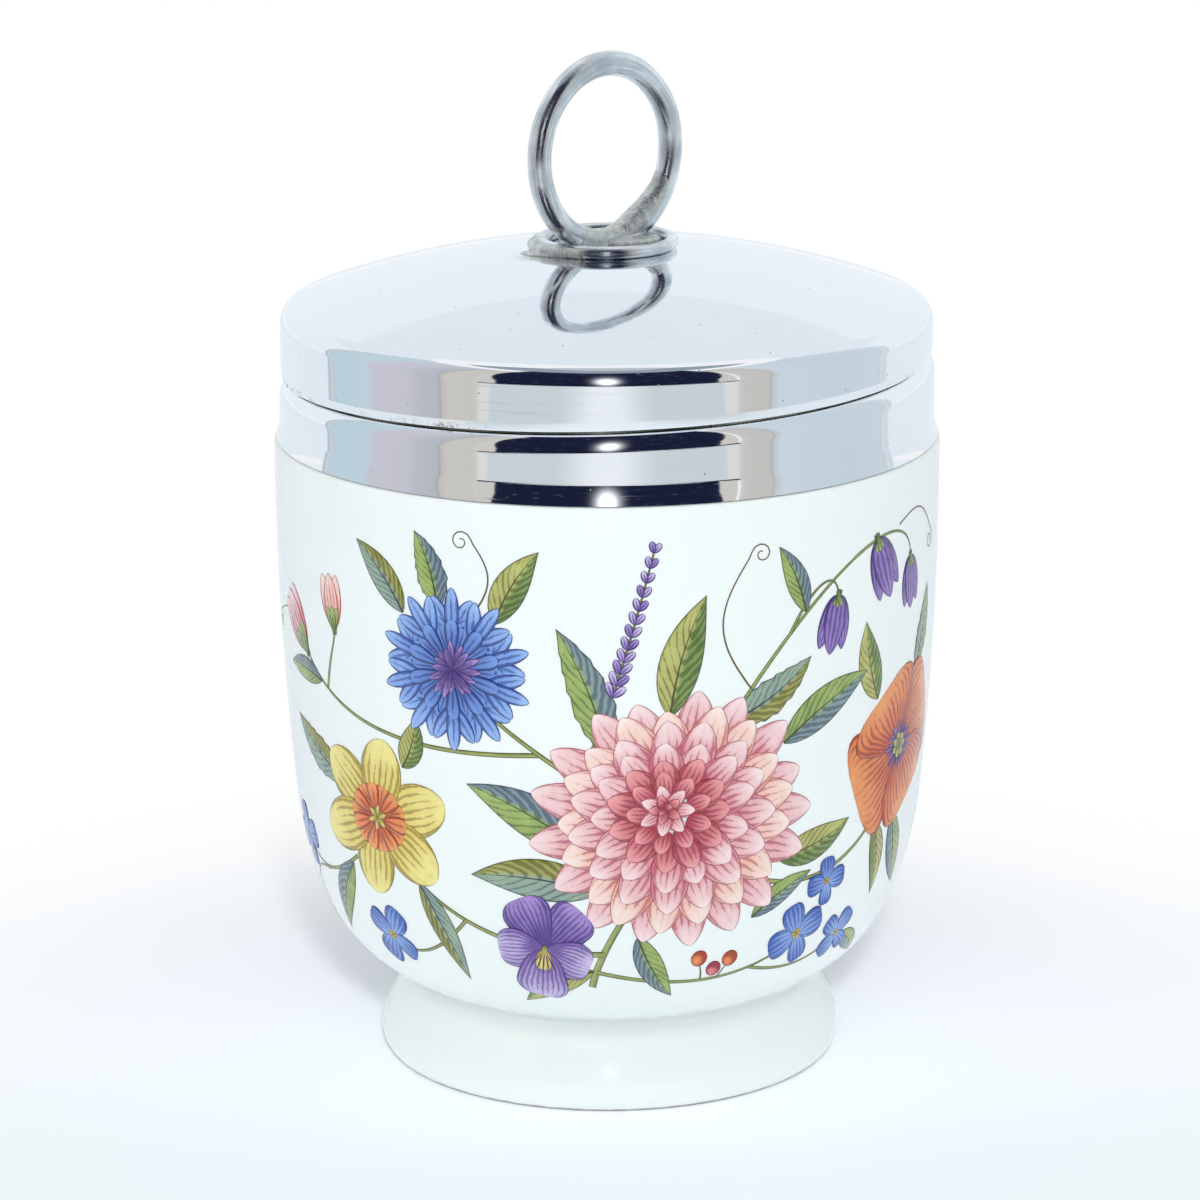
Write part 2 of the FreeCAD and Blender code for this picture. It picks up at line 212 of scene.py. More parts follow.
def drawn_line(name, places):
    """Draws a chain of edges through places, and stays in edit mode with all of it selected."""
    bpy.ops.object.select_all(action="DESELECT")
    bpy.ops.mesh.primitive_plane_add(size=MM)
    piece = bpy.context.object
    piece.name = name
    piece.data.name = name
    bpy.ops.object.mode_set(mode="EDIT")
    bpy.ops.mesh.select_all(action="SELECT")
    bpy.ops.mesh.merge(type="CENTER")
    bpy.ops.transform.translate(value=places[0])
    for here, there in zip(places, places[1:]):
        bpy.ops.mesh.extrude_region_move(TRANSFORM_OT_translate={"value": there - here})
    bpy.ops.mesh.select_all(action="SELECT")
    return piece


def tent_panel(name, line, stops):
    """A curved card that only reflections see: a line of (distance, height) points swept round the cup.
    stops are (angle, colour) pairs, in degrees from the camera's direction, to the right as it sees it."""
    from_angle, to_angle = stops[0][0], stops[-1][0]
    start = face_camera + math.radians(from_angle)
    panel = drawn_line(name, [Vector((r * math.cos(start), r * math.sin(start), z)) * MM for r, z in line])
    bpy.ops.mesh.spin(steps=24, angle=math.radians(from_angle - to_angle), center=(0, 0, 0), axis=(0, 0, 1))
    bpy.ops.object.mode_set(mode="OBJECT")
    card = bpy.data.materials.new(name + "_card")
    card.use_nodes = True
    tree = card.node_tree
    tree.nodes.clear()
    place = add_node(tree, "TexCoord").outputs["Object"]
    turned = add_node(tree, "VectorRotate", {
        "Vector": place, "Angle": -face_camera - math.radians(from_angle)}, rotation_type="Z_AXIS")
    axes = add_node(tree, "SeparateXYZ", {0: turned})
    around = add_node(tree, "Math", {0: axes.outputs[1], 1: axes.outputs[0]}, operation="ARCTAN2")
    full = add_node(tree, "Math", {0: around, 1: 2 * math.pi}, operation="FLOORED_MODULO")
    share = add_node(tree, "Math", {0: full, 1: math.radians(to_angle - from_angle)}, operation="DIVIDE")
    ramp = add_node(tree, "ValToRGB", {0: share})
    for _ in stops[2:]:
        ramp.color_ramp.elements.new(0.5)
    for element, (angle, colour) in zip(ramp.color_ramp.elements, stops):
        element.position = (angle - from_angle) / (to_angle - from_angle)
        element.color = linear_colour(colour)
    shown = add_node(tree, "Emission", {"Color": ramp, "Strength": 1.0})
    add_node(tree, "OutputMaterial", {0: shown})
    panel.data.materials.append(card)
    panel.visible_camera = False
    panel.visible_diffuse = False
    panel.visible_shadow = False
    panel.visible_transmission = False
    return tree, place, ramp.outputs[0], shown


def overhead_line(low, high, steps=18):
    """A line that arches over the cup at the room's distance, from one elevation to another in degrees."""
    angles = [math.radians(low + (high - low) * i / steps) for i in range(steps + 1)]
    return [(dark_room_radius * math.cos(a), 70 + dark_room_radius * math.sin(a)) for a in angles]


wall_line = [(side_wall_radius, 0.0), (side_wall_radius, side_wall_height)]
tent_panel("left_wall", wall_line, [
    (-107.5, "#C5CDD4"), (-106, "#C5CDD4"), (-105.4, "#DDE3E8"), (-104.6, "#CBD5DB"), (-101, "#C6DCE3"),
    (-86, "#CADBE3"), (-83, "#D3D0DA"), (-68, "#D0CDD6"), (-64, "#C3C6CE"), (-56.5, "#BFC1C8"),
    (-55.5, "#A9A9AC")])
tent_panel("left_hem", wall_line, [(-55.5, "#C9C4BB"), (-53, "#D3CFC6"), (-44, "#D2CEC6"), (-42, "#DAD8D2")])
tent_panel("right_hem", wall_line, [(43, "#DAD8D3"), (45, "#D1CDC8"), (54, "#CECAC4"), (55, "#B9B6B2")])
tent_panel("right_wall", wall_line, [
    (55, "#C6CDD3"), (58, "#D6E0E6"), (70, "#D2DEE5"), (88, "#CFDCE4"), (102, "#D4DFE5"), (104.4, "#D0DAE1"),
    (105.2, "#E6ECF0"), (106, "#D9E1E7"), (108.5, "#DDE5EA")])
tent_panel("tent_back", overhead_line(1, 34), [(100, "#F3FAFF"), (260, "#F3FAFF")])
tent_panel("tent_back_high", overhead_line(34, 58), [(100, "#ECF3F8"), (260, "#ECF3F8")])
tent_panel("tent_top_front", overhead_line(64, 80), [(-100, "#98A4B0"), (100, "#98A4B0")])
tent_panel("tent_top", overhead_line(80, 90), [(-180, "#C3CCD3"), (180, "#C3CCD3")])

# The dark room's card paints the room as the metal reflects it: navy with faint painted glints of light, a
# pale curtain at its sides, and the camera's flash as a bright glowing spot.
room, room_place, room_colour, room_glow = tent_panel("dark_room", overhead_line(-7, 64), [
    (-44, "#1B2038"), (44, "#1B2038")])
room_side = add_node(room, "VectorMath", {0: room_place, 1: camera_right}, operation="DOT_PRODUCT")
room_height = add_node(room, "SeparateXYZ", {0: room_place}).outputs[2]
room_front = add_node(room, "VectorMath", {0: room_place, 1: camera_near}, operation="DOT_PRODUCT")
off_axis = add_node(room, "Math", {0: room_side}, operation="ABSOLUTE")
slope = add_node(room, "Math", {0: off_axis, 1: room_front}, operation="ARCTAN2")
open_to = add_node(room, "MapRange", {
    "Value": room_height, "From Min": 150 * MM, "From Max": 560 * MM, "To Min": math.radians(37.5),
    "To Max": math.radians(44.5)})
curtain = add_node(room, "Math", {0: slope, 1: open_to}, operation="SUBTRACT")
curtain_mask = add_node(room, "MapRange", {"Value": curtain, "From Min": -0.006, "From Max": 0.006})
flash_side = add_node(room, "Math", {0: room_side, 1: flash_width * MM}, operation="DIVIDE")
flash_up = add_node(room, "MapRange", {
    "Value": room_height, "From Min": flash_low * MM, "From Max": flash_high * MM}, clamp=False)
flash_spot = add_node(room, "CombineXYZ", {0: flash_side, 1: flash_up})
flash_far = add_node(room, "VectorMath", {0: flash_spot}, operation="LENGTH")
flash_square = add_node(room, "Math", {0: flash_far, 1: 2.0}, operation="POWER")
flash_fall = add_node(room, "Math", {0: 0.37, 1: flash_square}, operation="POWER")
room_glint_noise = add_node(room, "TexNoise", {"Vector": room_place, "Scale": 22.0, "Detail": 5.0, "Roughness": 0.7})
glints = add_node(room, "MapRange", {"Value": room_glint_noise, "From Min": 0.60, "From Max": 0.78})
lit_room = add_node(room, "Mix", {0: glints, 6: room_colour, 7: "#8795BC"}, data_type="RGBA")
curtained = add_node(room, "Mix", {0: curtain_mask, 6: lit_room, 7: "#D6D2CB"}, data_type="RGBA")
flashed = add_node(room, "Mix", {0: flash_fall, 6: curtained, 7: (2.4, 2.45, 2.5, 1.0)}, data_type="RGBA")
set_sockets(room_glow, {"Color": flashed})


def soft_lamp(name, angle, distance, height, size, power):
    """A square soft lamp that faces the cup, at an angle in degrees from the direction of the camera."""
    turn = face_camera + math.radians(angle)
    place = Vector((distance * math.cos(turn), distance * math.sin(turn), height)) * MM
    bpy.ops.object.light_add(type="AREA", location=place)
    lamp = bpy.context.object
    lamp.name = name
    lamp.data.shape = "SQUARE"
    lamp.data.size = size * MM
    lamp.data.energy = power
    lamp.rotation_euler = (Vector((0, 0, lamp_aim_height * MM)) - place).to_track_quat("-Z", "Y").to_euler()
    lamp.visible_glossy = False
    return lamp


soft_lamp("lamp_above", 10, 200, 920, 700, 1.62)
soft_lamp("lamp_left", -62, 760, 420, 520, 1.6)
soft_lamp("lamp_right", 66, 760, 420, 520, 1.35)
soft_lamp("lamp_front", 0, 620, 380, 420, 0.85)
soft_lamp("lamp_flash", 0, 560, 290, 60, 0.3)
floor_lamp = soft_lamp("lamp_flash_on_floor", 3, 560, 290, 45, 2.4)
lit_by_floor_lamp = bpy.data.collections.new("lit_by_floor_lamp")
lit_by_floor_lamp.objects.link(floor)
floor_lamp.light_linking.receiver_collection = lit_by_floor_lamp

# ---- Porcelain cup ----
# Slip-cast and jiggered porcelain on a turned foot ring, under a clear glaze. The neck inside the collar
# is plain, and the foot's standing edge is wiped bare of glaze.

bowl_radius = 33.7
bowl_rim_height = 64.9
side_curve = 325.0
side_curve_top = 60.0
belly_top = 27.8
belly_curve = 37.4
under_top = 16.85
under_curve = 14.45
under_end = math.radians(-79.5)
foot_flare = 5.12
foot_widest = 1.75
foot_tuck = 0.7
foot_ring_width = 3.6
crease_rounding = 0.6
wall = 3.2
floor_thickness = 4.3
rim_ledge = 1.5
neck_radius = 29.2
neck_bore = 26.4
cup_top = 78.6
lip_rounding = 1.35
bore_turns_out = 67.5
cup_columns = 360
sharp_angle = math.radians(34.0)
merge_distance = 0.005


def arc_spots(centre, radius, from_angle, to_angle, steps):
    """Points of an outline along an arc, as (radius, height), with angles in radians."""
    return [
        (centre[0] + radius * math.cos(a), centre[1] + radius * math.sin(a))
        for a in (from_angle + (to_angle - from_angle) * i / steps for i in range(steps + 1))
    ]


def rounded_spots(corners, steps=7):
    """Points of an outline through corners given as (radius, height) or (radius, height, rounding)."""
    spots = [corners[0][:2]]
    for before, corner, after in zip(corners, corners[1:], corners[2:]):
        here = Vector(corner[:2])
        if len(corner) == 2:
            spots.append(corner)
            continue
        back = (Vector(before[:2]) - here).normalized()
        ahead = (Vector(after[:2]) - here).normalized()
        half = back.angle(ahead) / 2
        setback = corner[2] / math.tan(half)
        centre = here + (back + ahead).normalized() * (corner[2] / math.sin(half))
        start = here + back * setback - centre
        turn = start.angle_signed(here + ahead * setback - centre)
        first = math.atan2(start.y, start.x)
        spots += arc_spots(centre, corner[2], first, first - turn, steps)
    spots.append(corners[-1][:2])
    return spots


def spun_piece(name, spots, columns, start_angle=0.0):
    """Draws an outline in millimetres and spins it once round the axis into a closed piece."""
    across, along = math.cos(start_angle), math.sin(start_angle)
    piece = drawn_line(name, [Vector((r * across, r * along, z)) * MM for r, z in spots])
    bpy.ops.mesh.spin(steps=columns, angle=2 * math.pi, center=(0, 0, 0), axis=(0, 0, 1))
    bpy.ops.mesh.select_all(action="SELECT")
    bpy.ops.mesh.remove_doubles(threshold=merge_distance * MM)
    bpy.ops.mesh.normals_make_consistent(inside=False)
    bpy.ops.object.mode_set(mode="OBJECT")
    return piece


def select_only(*pieces):
    """Selects these pieces alone, with the first of them active."""
    bpy.ops.object.select_all(action="DESELECT")
    for piece in pieces:
        piece.select_set(True)
    bpy.context.view_layer.objects.active = pieces[0]


def apply_modifier(piece, name, kind, **settings):
    """Gives a piece a modifier with these settings, and applies it."""
    bpy.context.view_layer.objects.active = piece
    modifier = piece.modifiers.new(name, kind)
    for setting, value in settings.items():
        setattr(modifier, setting, value)
    bpy.ops.object.modifier_apply(modifier=modifier.name)


def smooth_faces(piece):
    """Shades the roundings smooth and lets the wide faces beside them keep their own direction."""
    select_only(piece)
    bpy.ops.object.shade_smooth_by_angle(angle=sharp_angle)
    apply_modifier(piece, "even_normals", "WEIGHTED_NORMAL", mode="FACE_AREA", weight=90, keep_sharp=True)


side_centre = Vector((bowl_radius - side_curve, side_curve_top))
belly_join_angle = math.asin((belly_top - side_centre.y) / side_curve)
belly_join = side_centre + Vector((math.cos(belly_join_angle), math.sin(belly_join_angle))) * side_curve
belly_centre = belly_join + (side_centre - belly_join).normalized() * belly_curve
under_join_angle = math.asin((under_top - belly_centre.y) / belly_curve)
under_join = belly_centre + Vector((math.cos(under_join_angle), math.sin(under_join_angle))) * belly_curve
under_centre = under_join + (belly_centre - under_join).normalized() * under_curve
foot_join = under_centre + Vector((math.cos(under_end), math.sin(under_end))) * under_curve
foot_radius = foot_join.x + foot_flare
foot_rise = foot_join.y - foot_widest
foot_curve = (foot_flare ** 2 + foot_rise ** 2) / (2 * foot_flare)
foot_centre = Vector((foot_radius - foot_curve, foot_widest))
toe_curve = (foot_tuck ** 2 + foot_widest ** 2) / (2 * foot_tuck)
floor_height = under_centre.y - under_curve + wall
recess_height = floor_height - floor_thickness
inner_side_radius = side_centre.x + side_curve - wall

to_foot = foot_centre - under_centre
under_reach = under_curve + crease_rounding
foot_reach = foot_curve + crease_rounding
share_to_foot = (under_reach ** 2 - foot_reach ** 2 + to_foot.length_squared) / (2 * to_foot.length)
aside_of_line = math.sqrt(under_reach ** 2 - share_to_foot ** 2)
toward_foot = to_foot.normalized()
off_line = Vector((-toward_foot.y, toward_foot.x))
crease_centre = under_centre + toward_foot * share_to_foot + off_line * aside_of_line
crease_off_foot = crease_centre - foot_centre
crease_off_under = crease_centre - under_centre
foot_end_angle = math.atan2(crease_off_foot.y, crease_off_foot.x)
under_low_angle = math.atan2(crease_off_under.y, crease_off_under.x)

cup_spots = rounded_spots([
    (0.0, recess_height),
    (foot_join.x - wall, recess_height, 1.2),
    (foot_radius - foot_ring_width, 0.0, 0.6),
    (foot_radius - foot_tuck, 0.0, 0.35),
    (foot_radius - toe_curve * (1 - math.cos(math.radians(30.0))), foot_widest - toe_curve / 2),
])
cup_spots += arc_spots((foot_radius - toe_curve, foot_widest), toe_curve, math.radians(-25.0), 0.0, 5)
cup_spots += arc_spots(foot_centre, foot_curve, 0.0, foot_end_angle, 16)[1:]
cup_spots += arc_spots(
    crease_centre, crease_rounding, foot_end_angle - math.pi, under_low_angle - math.pi, 8)[1:]
cup_spots += arc_spots(under_centre, under_curve, under_low_angle, under_join_angle, 20)[1:]
cup_spots += arc_spots(belly_centre, belly_curve, under_join_angle, belly_join_angle, 14)[1:]
cup_spots += arc_spots(side_centre, side_curve, belly_join_angle, 0.0, 12)[1:]
cup_spots += rounded_spots([
    (bowl_radius, side_curve_top),
    (bowl_radius, bowl_rim_height, 0.5),
    (bowl_radius - rim_ledge, bowl_rim_height),
    (bowl_radius - rim_ledge, bowl_rim_height + 2.3, 1.2),
    (neck_radius, bowl_rim_height + 2.8, 0.8),
    (neck_radius, cup_top, lip_rounding),
    (neck_bore, cup_top, lip_rounding),
    (neck_bore, bore_turns_out, 4.0),
    (inner_side_radius, side_curve_top),
])[1:]
cup_spots += arc_spots(side_centre, side_curve - wall, 0.0, belly_join_angle, 10)[1:]
cup_spots += arc_spots(belly_centre, belly_curve - wall, belly_join_angle, under_join_angle, 12)[1:]
cup_spots += arc_spots(under_centre, under_curve - wall, under_join_angle, -math.pi / 2, 18)[1:]
cup_spots.append((0.0, floor_height))

cup_body = spun_piece("porcelain_cup", cup_spots, cup_columns)
smooth_faces(cup_body)


def new_material(name):
    """A material, its node tree, its Principled shader, and the place on the object that patterns follow."""
    material = bpy.data.materials.new(name)
    material.use_nodes = True
    tree = material.node_tree
    return material, tree, tree.nodes["Principled BSDF"], add_node(tree, "TexCoord").outputs["Object"]


# Glazed hard porcelain: a clear, glossy glaze over a cool white body, with the faint waviness that the glaze
# keeps from flowing in the kiln. The standing edge is bare, so it is duller and holds a little dirt, and its
# grey is darkened further with painted contact shadow where the foot meets the floor.
glazed_porcelain, glaze, glaze_shader, glaze_place = new_material("glazed_porcelain")
body_tone = add_node(glaze, "TexNoise", {"Vector": glaze_place, "Scale": 55.0, "Detail": 2.0})
body_colour = add_node(glaze, "Mix", {0: body_tone, 6: "#F2F7F3", 7: "#F6FAF7"}, data_type="RGBA")
glaze_height = add_node(glaze, "SeparateXYZ", {0: glaze_place})
edge_dirt_and_shade = add_node(glaze, "TexNoise", {"Vector": glaze_place, "Scale": 700.0, "Detail": 4.0})
edge_line = add_node(glaze, "Math", {
    0: edge_dirt_and_shade, 1: 0.25 * MM, 2: glaze_height.outputs[2]}, operation="MULTIPLY_ADD")
bare_edge = add_node(glaze, "MapRange", {
    "Value": edge_line, "From Min": 0.34 * MM, "From Max": 0.44 * MM, "To Min": 1.0, "To Max": 0.0})
# Painted contact shadow: the bare edge is drawn darker and greyer than bare porcelain, for its dirt and for
# the shade under the foot.
bisque_and_contact_shadow = add_node(glaze, "Mix", {0: edge_dirt_and_shade, 6: "#8F8A92", 7: "#C2BDBE"}, data_type="RGBA")
edged = add_node(glaze, "Mix", {0: bare_edge, 6: body_colour, 7: bisque_and_contact_shadow}, data_type="RGBA")
glaze_gloss = add_node(glaze, "MapRange", {"Value": bare_edge, "To Min": 0.09, "To Max": 0.8})
glaze_flow = add_node(glaze, "TexNoise", {"Vector": glaze_place, "Scale": 160.0, "Detail": 1.0})
glaze_bump = add_node(glaze, "Bump", {"Height": glaze_flow, "Strength": 1.0, "Distance": 0.004 * MM})
set_sockets(glaze_shader, {"IOR": 1.52, "Base Color": edged, "Roughness": glaze_gloss, "Normal": glaze_bump})
cup_body.data.materials.append(glazed_porcelain)
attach(cup_body, "cup")
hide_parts("cup")

# ---- Flower transfer ----
# A spray of garden flowers, printed on transfer film and fired under the glaze. Each petal and leaf is its
# own patch of colour with engraved strokes and a fine brown outline, laid over the one before it.

print_radius = 33.3
film_lift = 0.010
film_layer = 0.004
film_thickness = 0.005
film_cell = 0.6


def on_glaze(u, v, lift):
    """The place on the cup's side at an arc length u to the right of the camera side and a height v."""
    centre, curve = (side_centre, side_curve) if v > belly_top else (belly_centre, belly_curve)
    if v < under_top:
        centre, curve = under_centre, under_curve
    tilt = math.asin((v - centre.y) / curve)
    radius = centre.x + (curve + lift) * math.cos(tilt)
    turn = face_camera + u / print_radius
    height = centre.y + (curve + lift) * math.sin(tilt)
    return Vector((radius * math.cos(turn), radius * math.sin(turn), height))


def through(*points):
    """A smooth line that starts and ends at the outer points and leans to those between them."""
    def at(s):
        spots = [Vector(p) for p in points]
        while len(spots) > 1:
            spots = [a.lerp(b, s) for a, b in zip(spots, spots[1:])]
        return spots[0]
    return at


def swell(base, tip, teeth=0, tooth=0.0, ruffle=0.0, phase=0.0):
    """Half-width along a petal or leaf, 1 at the widest. Small numbers make blunt ends."""
    peak = base / (base + tip)

    def at(s):
        width = (max(s, 0.0) / peak) ** base * (max(1 - s, 0.0) / (1 - peak)) ** tip
        if teeth:
            width *= 1 - tooth * ((s * teeth) % 1.0)
        return width * (1 + ruffle * math.sin(9 * s + phase))
    return at


def film_patch(line, half_width, outline, colours, shade, stroke, layer, rows=12, columns=6,
               far_colours=None):
    """One patch of print: a grid bent along a line on the cup. Its attributes say, at each point, how deep
    the colour is, where in the pattern of strokes it lies, and how far from the outline."""
    length = sum((line((i + 1) / 10) - line(i / 10)).length for i in range(10))
    rows = max(rows, math.ceil(length / film_cell))
    columns = max(columns, 2 * math.ceil(half_width / film_cell))
    bpy.ops.mesh.primitive_grid_add(x_subdivisions=columns, y_subdivisions=rows, size=1.0)
    patch = bpy.context.object
    lift = film_lift + film_layer * layer
    spots, brush, sides = [], [], []
    for vertex in patch.data.vertices:
        s = 0.5 - 0.5 * math.cos(math.pi * (vertex.co.y + 0.5))
        t = 2 * vertex.co.x
        sides.append(t)
        here = line(s)
        along = line(min(s + 0.01, 1.0)) - line(max(s - 0.01, 0.0))
        side = Vector((along.y, -along.x)).normalized()
        width = max(half_width * outline(s), 0.004)
        spot = here + side * width * t
        spots += (on_glaze(spot.x, spot.y, lift) * MM)[:]
        brush += [shade(s, t), stroke(s, t), width * (1 - abs(t))]
    patch.data.vertices.foreach_set("co", spots)
    patch.data.attributes.new("brush", "FLOAT_VECTOR", "POINT").data.foreach_set("vector", brush)
    far_half = [vertex_side > 0 for vertex_side in sides]
    for name, near_colour, far_colour in zip(("tint", "pale", "ink"), colours, far_colours or colours):
        shown = patch.data.attributes.new(name, "FLOAT_COLOR", "POINT")
        halves = (linear_colour(near_colour), linear_colour(far_colour))
        shown.data.foreach_set("color", [value for far in far_half for value in halves[far]])
    return patch


def join_patches(name, patches):
    """Joins patches into one print, gives it the film's thickness, and sets it on the cup."""
    select_only(*patches)
    bpy.ops.object.join()
    film = bpy.context.object
    film.name = name
    film.data.name = name
    film.data.uv_layers.remove(film.data.uv_layers[0])
    bpy.ops.object.mode_set(mode="EDIT")
    bpy.ops.mesh.select_all(action="SELECT")
    bpy.ops.mesh.flip_normals()
    bpy.ops.object.mode_set(mode="OBJECT")
    bpy.ops.object.shade_smooth()
    apply_modifier(film, "film", "SOLIDIFY", thickness=film_thickness * MM, offset=1.0)
    film.data.materials.append(fired_print)
    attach(film, "cup")
    return film


# Ceramic enamel, fired in: as glossy as the glaze over it, cloudy in tone like a wash, with engraved strokes
# that widen where the colour is deep and a fine dark line at each patch's edge.
fired_print, enamel, enamel_shader, on_cup = new_material("fired_enamel_print")
brush = add_node(enamel, "Attribute", attribute_name="brush")
tint = add_node(enamel, "Attribute", attribute_name="tint")
pale = add_node(enamel, "Attribute", attribute_name="pale")
ink = add_node(enamel, "Attribute", attribute_name="ink")
parts = add_node(enamel, "SeparateXYZ", {0: brush.outputs["Vector"]})
cloud = add_node(enamel, "TexNoise", {"Vector": on_cup, "Scale": 520.0, "Detail": 3.0}).outputs[0]
grain = add_node(enamel, "TexNoise", {"Vector": on_cup, "Scale": 3600.0, "Detail": 1.0}).outputs[0]
waver = add_node(enamel, "TexNoise", {"Vector": on_cup, "Scale": 900.0, "Detail": 2.0}).outputs[0]
deep = add_node(enamel, "MapRange", {
    "Value": cloud, "From Min": 0.25, "From Max": 0.75, "To Min": -0.16, "To Max": 0.16})
deeper = add_node(enamel, "Math", {0: parts.outputs[0], 1: deep}, operation="ADD", use_clamp=True)
wash = add_node(enamel, "Mix", {0: deeper, 6: pale, 7: tint}, data_type="RGBA")
phase = add_node(enamel, "Math", {0: waver, 1: 0.55, 2: parts.outputs[1]}, operation="MULTIPLY_ADD")
turned_phase = add_node(enamel, "Math", {0: phase, 1: 2 * math.pi}, operation="MULTIPLY")
wave = add_node(enamel, "Math", {0: turned_phase}, operation="SINE")
width_of_stroke = add_node(enamel, "Math", {0: deeper, 1: 2.8, 2: -1.75}, operation="MULTIPLY_ADD")
drawn = add_node(enamel, "Math", {0: wave, 1: width_of_stroke}, operation="ADD")
grained = add_node(enamel, "Math", {0: grain, 1: 0.9, 2: drawn}, operation="MULTIPLY_ADD")
strokes = add_node(enamel, "MapRange", {
    "Value": grained, "From Min": 0.35, "From Max": 0.95, "To Min": 0.0, "To Max": 0.62})
engraved = add_node(enamel, "Mix", {0: strokes, 6: wash, 7: ink}, data_type="RGBA")
rough_edge = add_node(enamel, "Math", {0: waver, 1: 0.05, 2: parts.outputs[2]}, operation="MULTIPLY_ADD")
outline_ink = add_node(enamel, "MapRange", {
    "Value": rough_edge, "From Min": 0.10, "From Max": 0.17, "To Min": 0.85, "To Max": 0.0})
printed = add_node(enamel, "Mix", {0: outline_ink, 6: engraved, 7: ink}, data_type="RGBA")
set_sockets(enamel_shader, {"Roughness": 0.14, "IOR": 1.5, "Base Color": printed})


def flat(value):
    """The same value all over a patch."""
    return lambda s, t: value


def stem(points, width, colours, layer):
    """A stalk, round in its shading."""
    return film_patch(through(*points), width, lambda s: 1 - 0.5 * s, colours,
                      lambda s, t: 0.45 + 0.4 * t, flat(0.25), layer, 24, 2)


def leaf(root, tip, bend, width, colours, layer, teeth):
    """A leaf from root to tip, bowed sideways by bend, with one half in shade, side veins and a midrib."""
    root, tip = Vector(root), Vector(tip)
    along = tip - root
    middle = (root + tip) / 2 + Vector((along.y, -along.x)).normalized() * bend
    line = through(root, middle, tip)

    def shade(s, t):
        return 0.30 + (0.34 if t > 0 else 0.0) + 0.28 * (1 - s) * (1 - abs(t)) + 0.12 * abs(t)

    def veined(s, t):
        return 9 * (s - 0.28 * abs(t)) + (0.5 if t > 0 else 0.0)

    blade = film_patch(line, width, swell(0.75, 1.05, teeth, 0.16), colours, shade, veined,
                       layer, max(14, teeth * 5), 6, OTHER_HALF[colours])
    rib = film_patch(line, 0.11, lambda s: 1.1 - s, (colours[2],) * 3, flat(1.0), flat(0.0),
                     layer + 0.8, 14, 2)
    return [blade, rib]


def petal(centre, angle, start, length, width, colours, layer, base=0.6, point=0.5, bend=0.0, strokes=3.5,
          depth=0.85, pale_tip=0.75, squash=1.0, ruffle=0.0, rows=12, columns=8):
    """A petal that points away from a flower's centre, from one distance to another. squash flattens the
    flower, as when it is seen from above."""
    def seen(place):
        return Vector(centre) + Vector((place.x, place.y * squash))

    out = Vector((math.cos(angle), math.sin(angle)))
    aside = Vector((-out.y, out.x))
    line = through(seen(out * start), seen(out * (start + length) / 2 + aside * bend), seen(out * length))

    def shade(s, t):
        return max(0.0, min(1.0, depth - pale_tip * s ** 1.2 + 0.30 * abs(t) ** 3 + 0.12 * (1 - abs(t)) ** 6))

    return film_patch(line, width, swell(base, point, ruffle=ruffle, phase=7 * angle), colours, shade,
                      lambda s, t: strokes * t * (1 - 0.25 * s), layer, rows, columns)


def petal_ring(count, centre, facing, start, length, width, colours, layer, step=1.0, **cut):
    """A ring of equal petals, every second one laid over its neighbours."""
    return [petal(centre, facing + 2 * math.pi * i / count, start, length, width, colours,
                  layer + step * (i % 2), **cut) for i in range(count)]


garden = random.Random(12)
PINK = ("#D65A6E", "#FCE4E2", "#A43A50")
CORAL = ("#E88D7C", "#FDEADF", "#B24E48")
CRIMSON = ("#BE3A4E", "#EFA3A2", "#7F2236")
VIOLET = ("#8A66BE", "#E9DDF4", "#3A2366")
BLUE = ("#3F6FCB", "#A9C8F3", "#1E2F7D")
DEEP_BLUE = ("#2C4FA8", "#7FA4E4", "#171F5E")
PURPLE = ("#6B4BA8", "#BFA3DC", "#33205F")
YELLOW = ("#D8B93E", "#F8EE9C", "#7C6420")
ORANGE = ("#D9562A", "#F4A663", "#7B2415")
LEAF = ("#5E7F3A", "#B9CB78", "#3D4A22")
OLIVE = ("#8A8B38", "#D3D384", "#4E4A1E")
SLATE = ("#6F87A0", "#A9BE8E", "#39404E")
STEM = ("#6C7A34", "#B5BC72", "#4B4A22")
BROWN = ("#8A7448", "#A8925F", "#6B5A36")
OTHER_HALF = {LEAF: SLATE, SLATE: OLIVE, OLIVE: LEAF}


def dahlia(centre, reach, layer):
    """A full dahlia: rings of cupped, pointed petals that grow smaller and deeper towards the middle."""
    patches = []
    rings = [(1.00, 17, 0.150, PINK), (0.86, 17, 0.150, CORAL), (0.72, 15, 0.140, PINK),
             (0.58, 13, 0.125, PINK), (0.44, 11, 0.105, CRIMSON), (0.31, 9, 0.080, CRIMSON),
             (0.20, 7, 0.060, PINK), (0.12, 5, 0.042, CRIMSON), (0.06, 3, 0.030, CRIMSON)]
    for number, (share, count, width, colours) in enumerate(rings):
        length = reach * share
        middle = (centre[0] - 0.2 * number, centre[1] + 0.22 * number)
        for i in range(count):
            angle = 2 * math.pi * (i + 0.5 * (number % 2)) / count + garden.uniform(-0.05, 0.05)
            patches.append(petal(
                middle, angle, length * (0.42 if number < 6 else 0.0), length * garden.uniform(0.95, 1.05),
                reach * width, colours, layer + 2 * min(number, 6) + 0.7 * max(number - 6, 0) + 0.5 * (i % 2),
                base=0.42, point=0.62, bend=garden.uniform(-0.3, 0.3), depth=1.0, pale_tip=1.05, strokes=3.0,
                squash=0.94, rows=12 if number < 4 else 8, columns=8 if number < 4 else 6))
    return patches


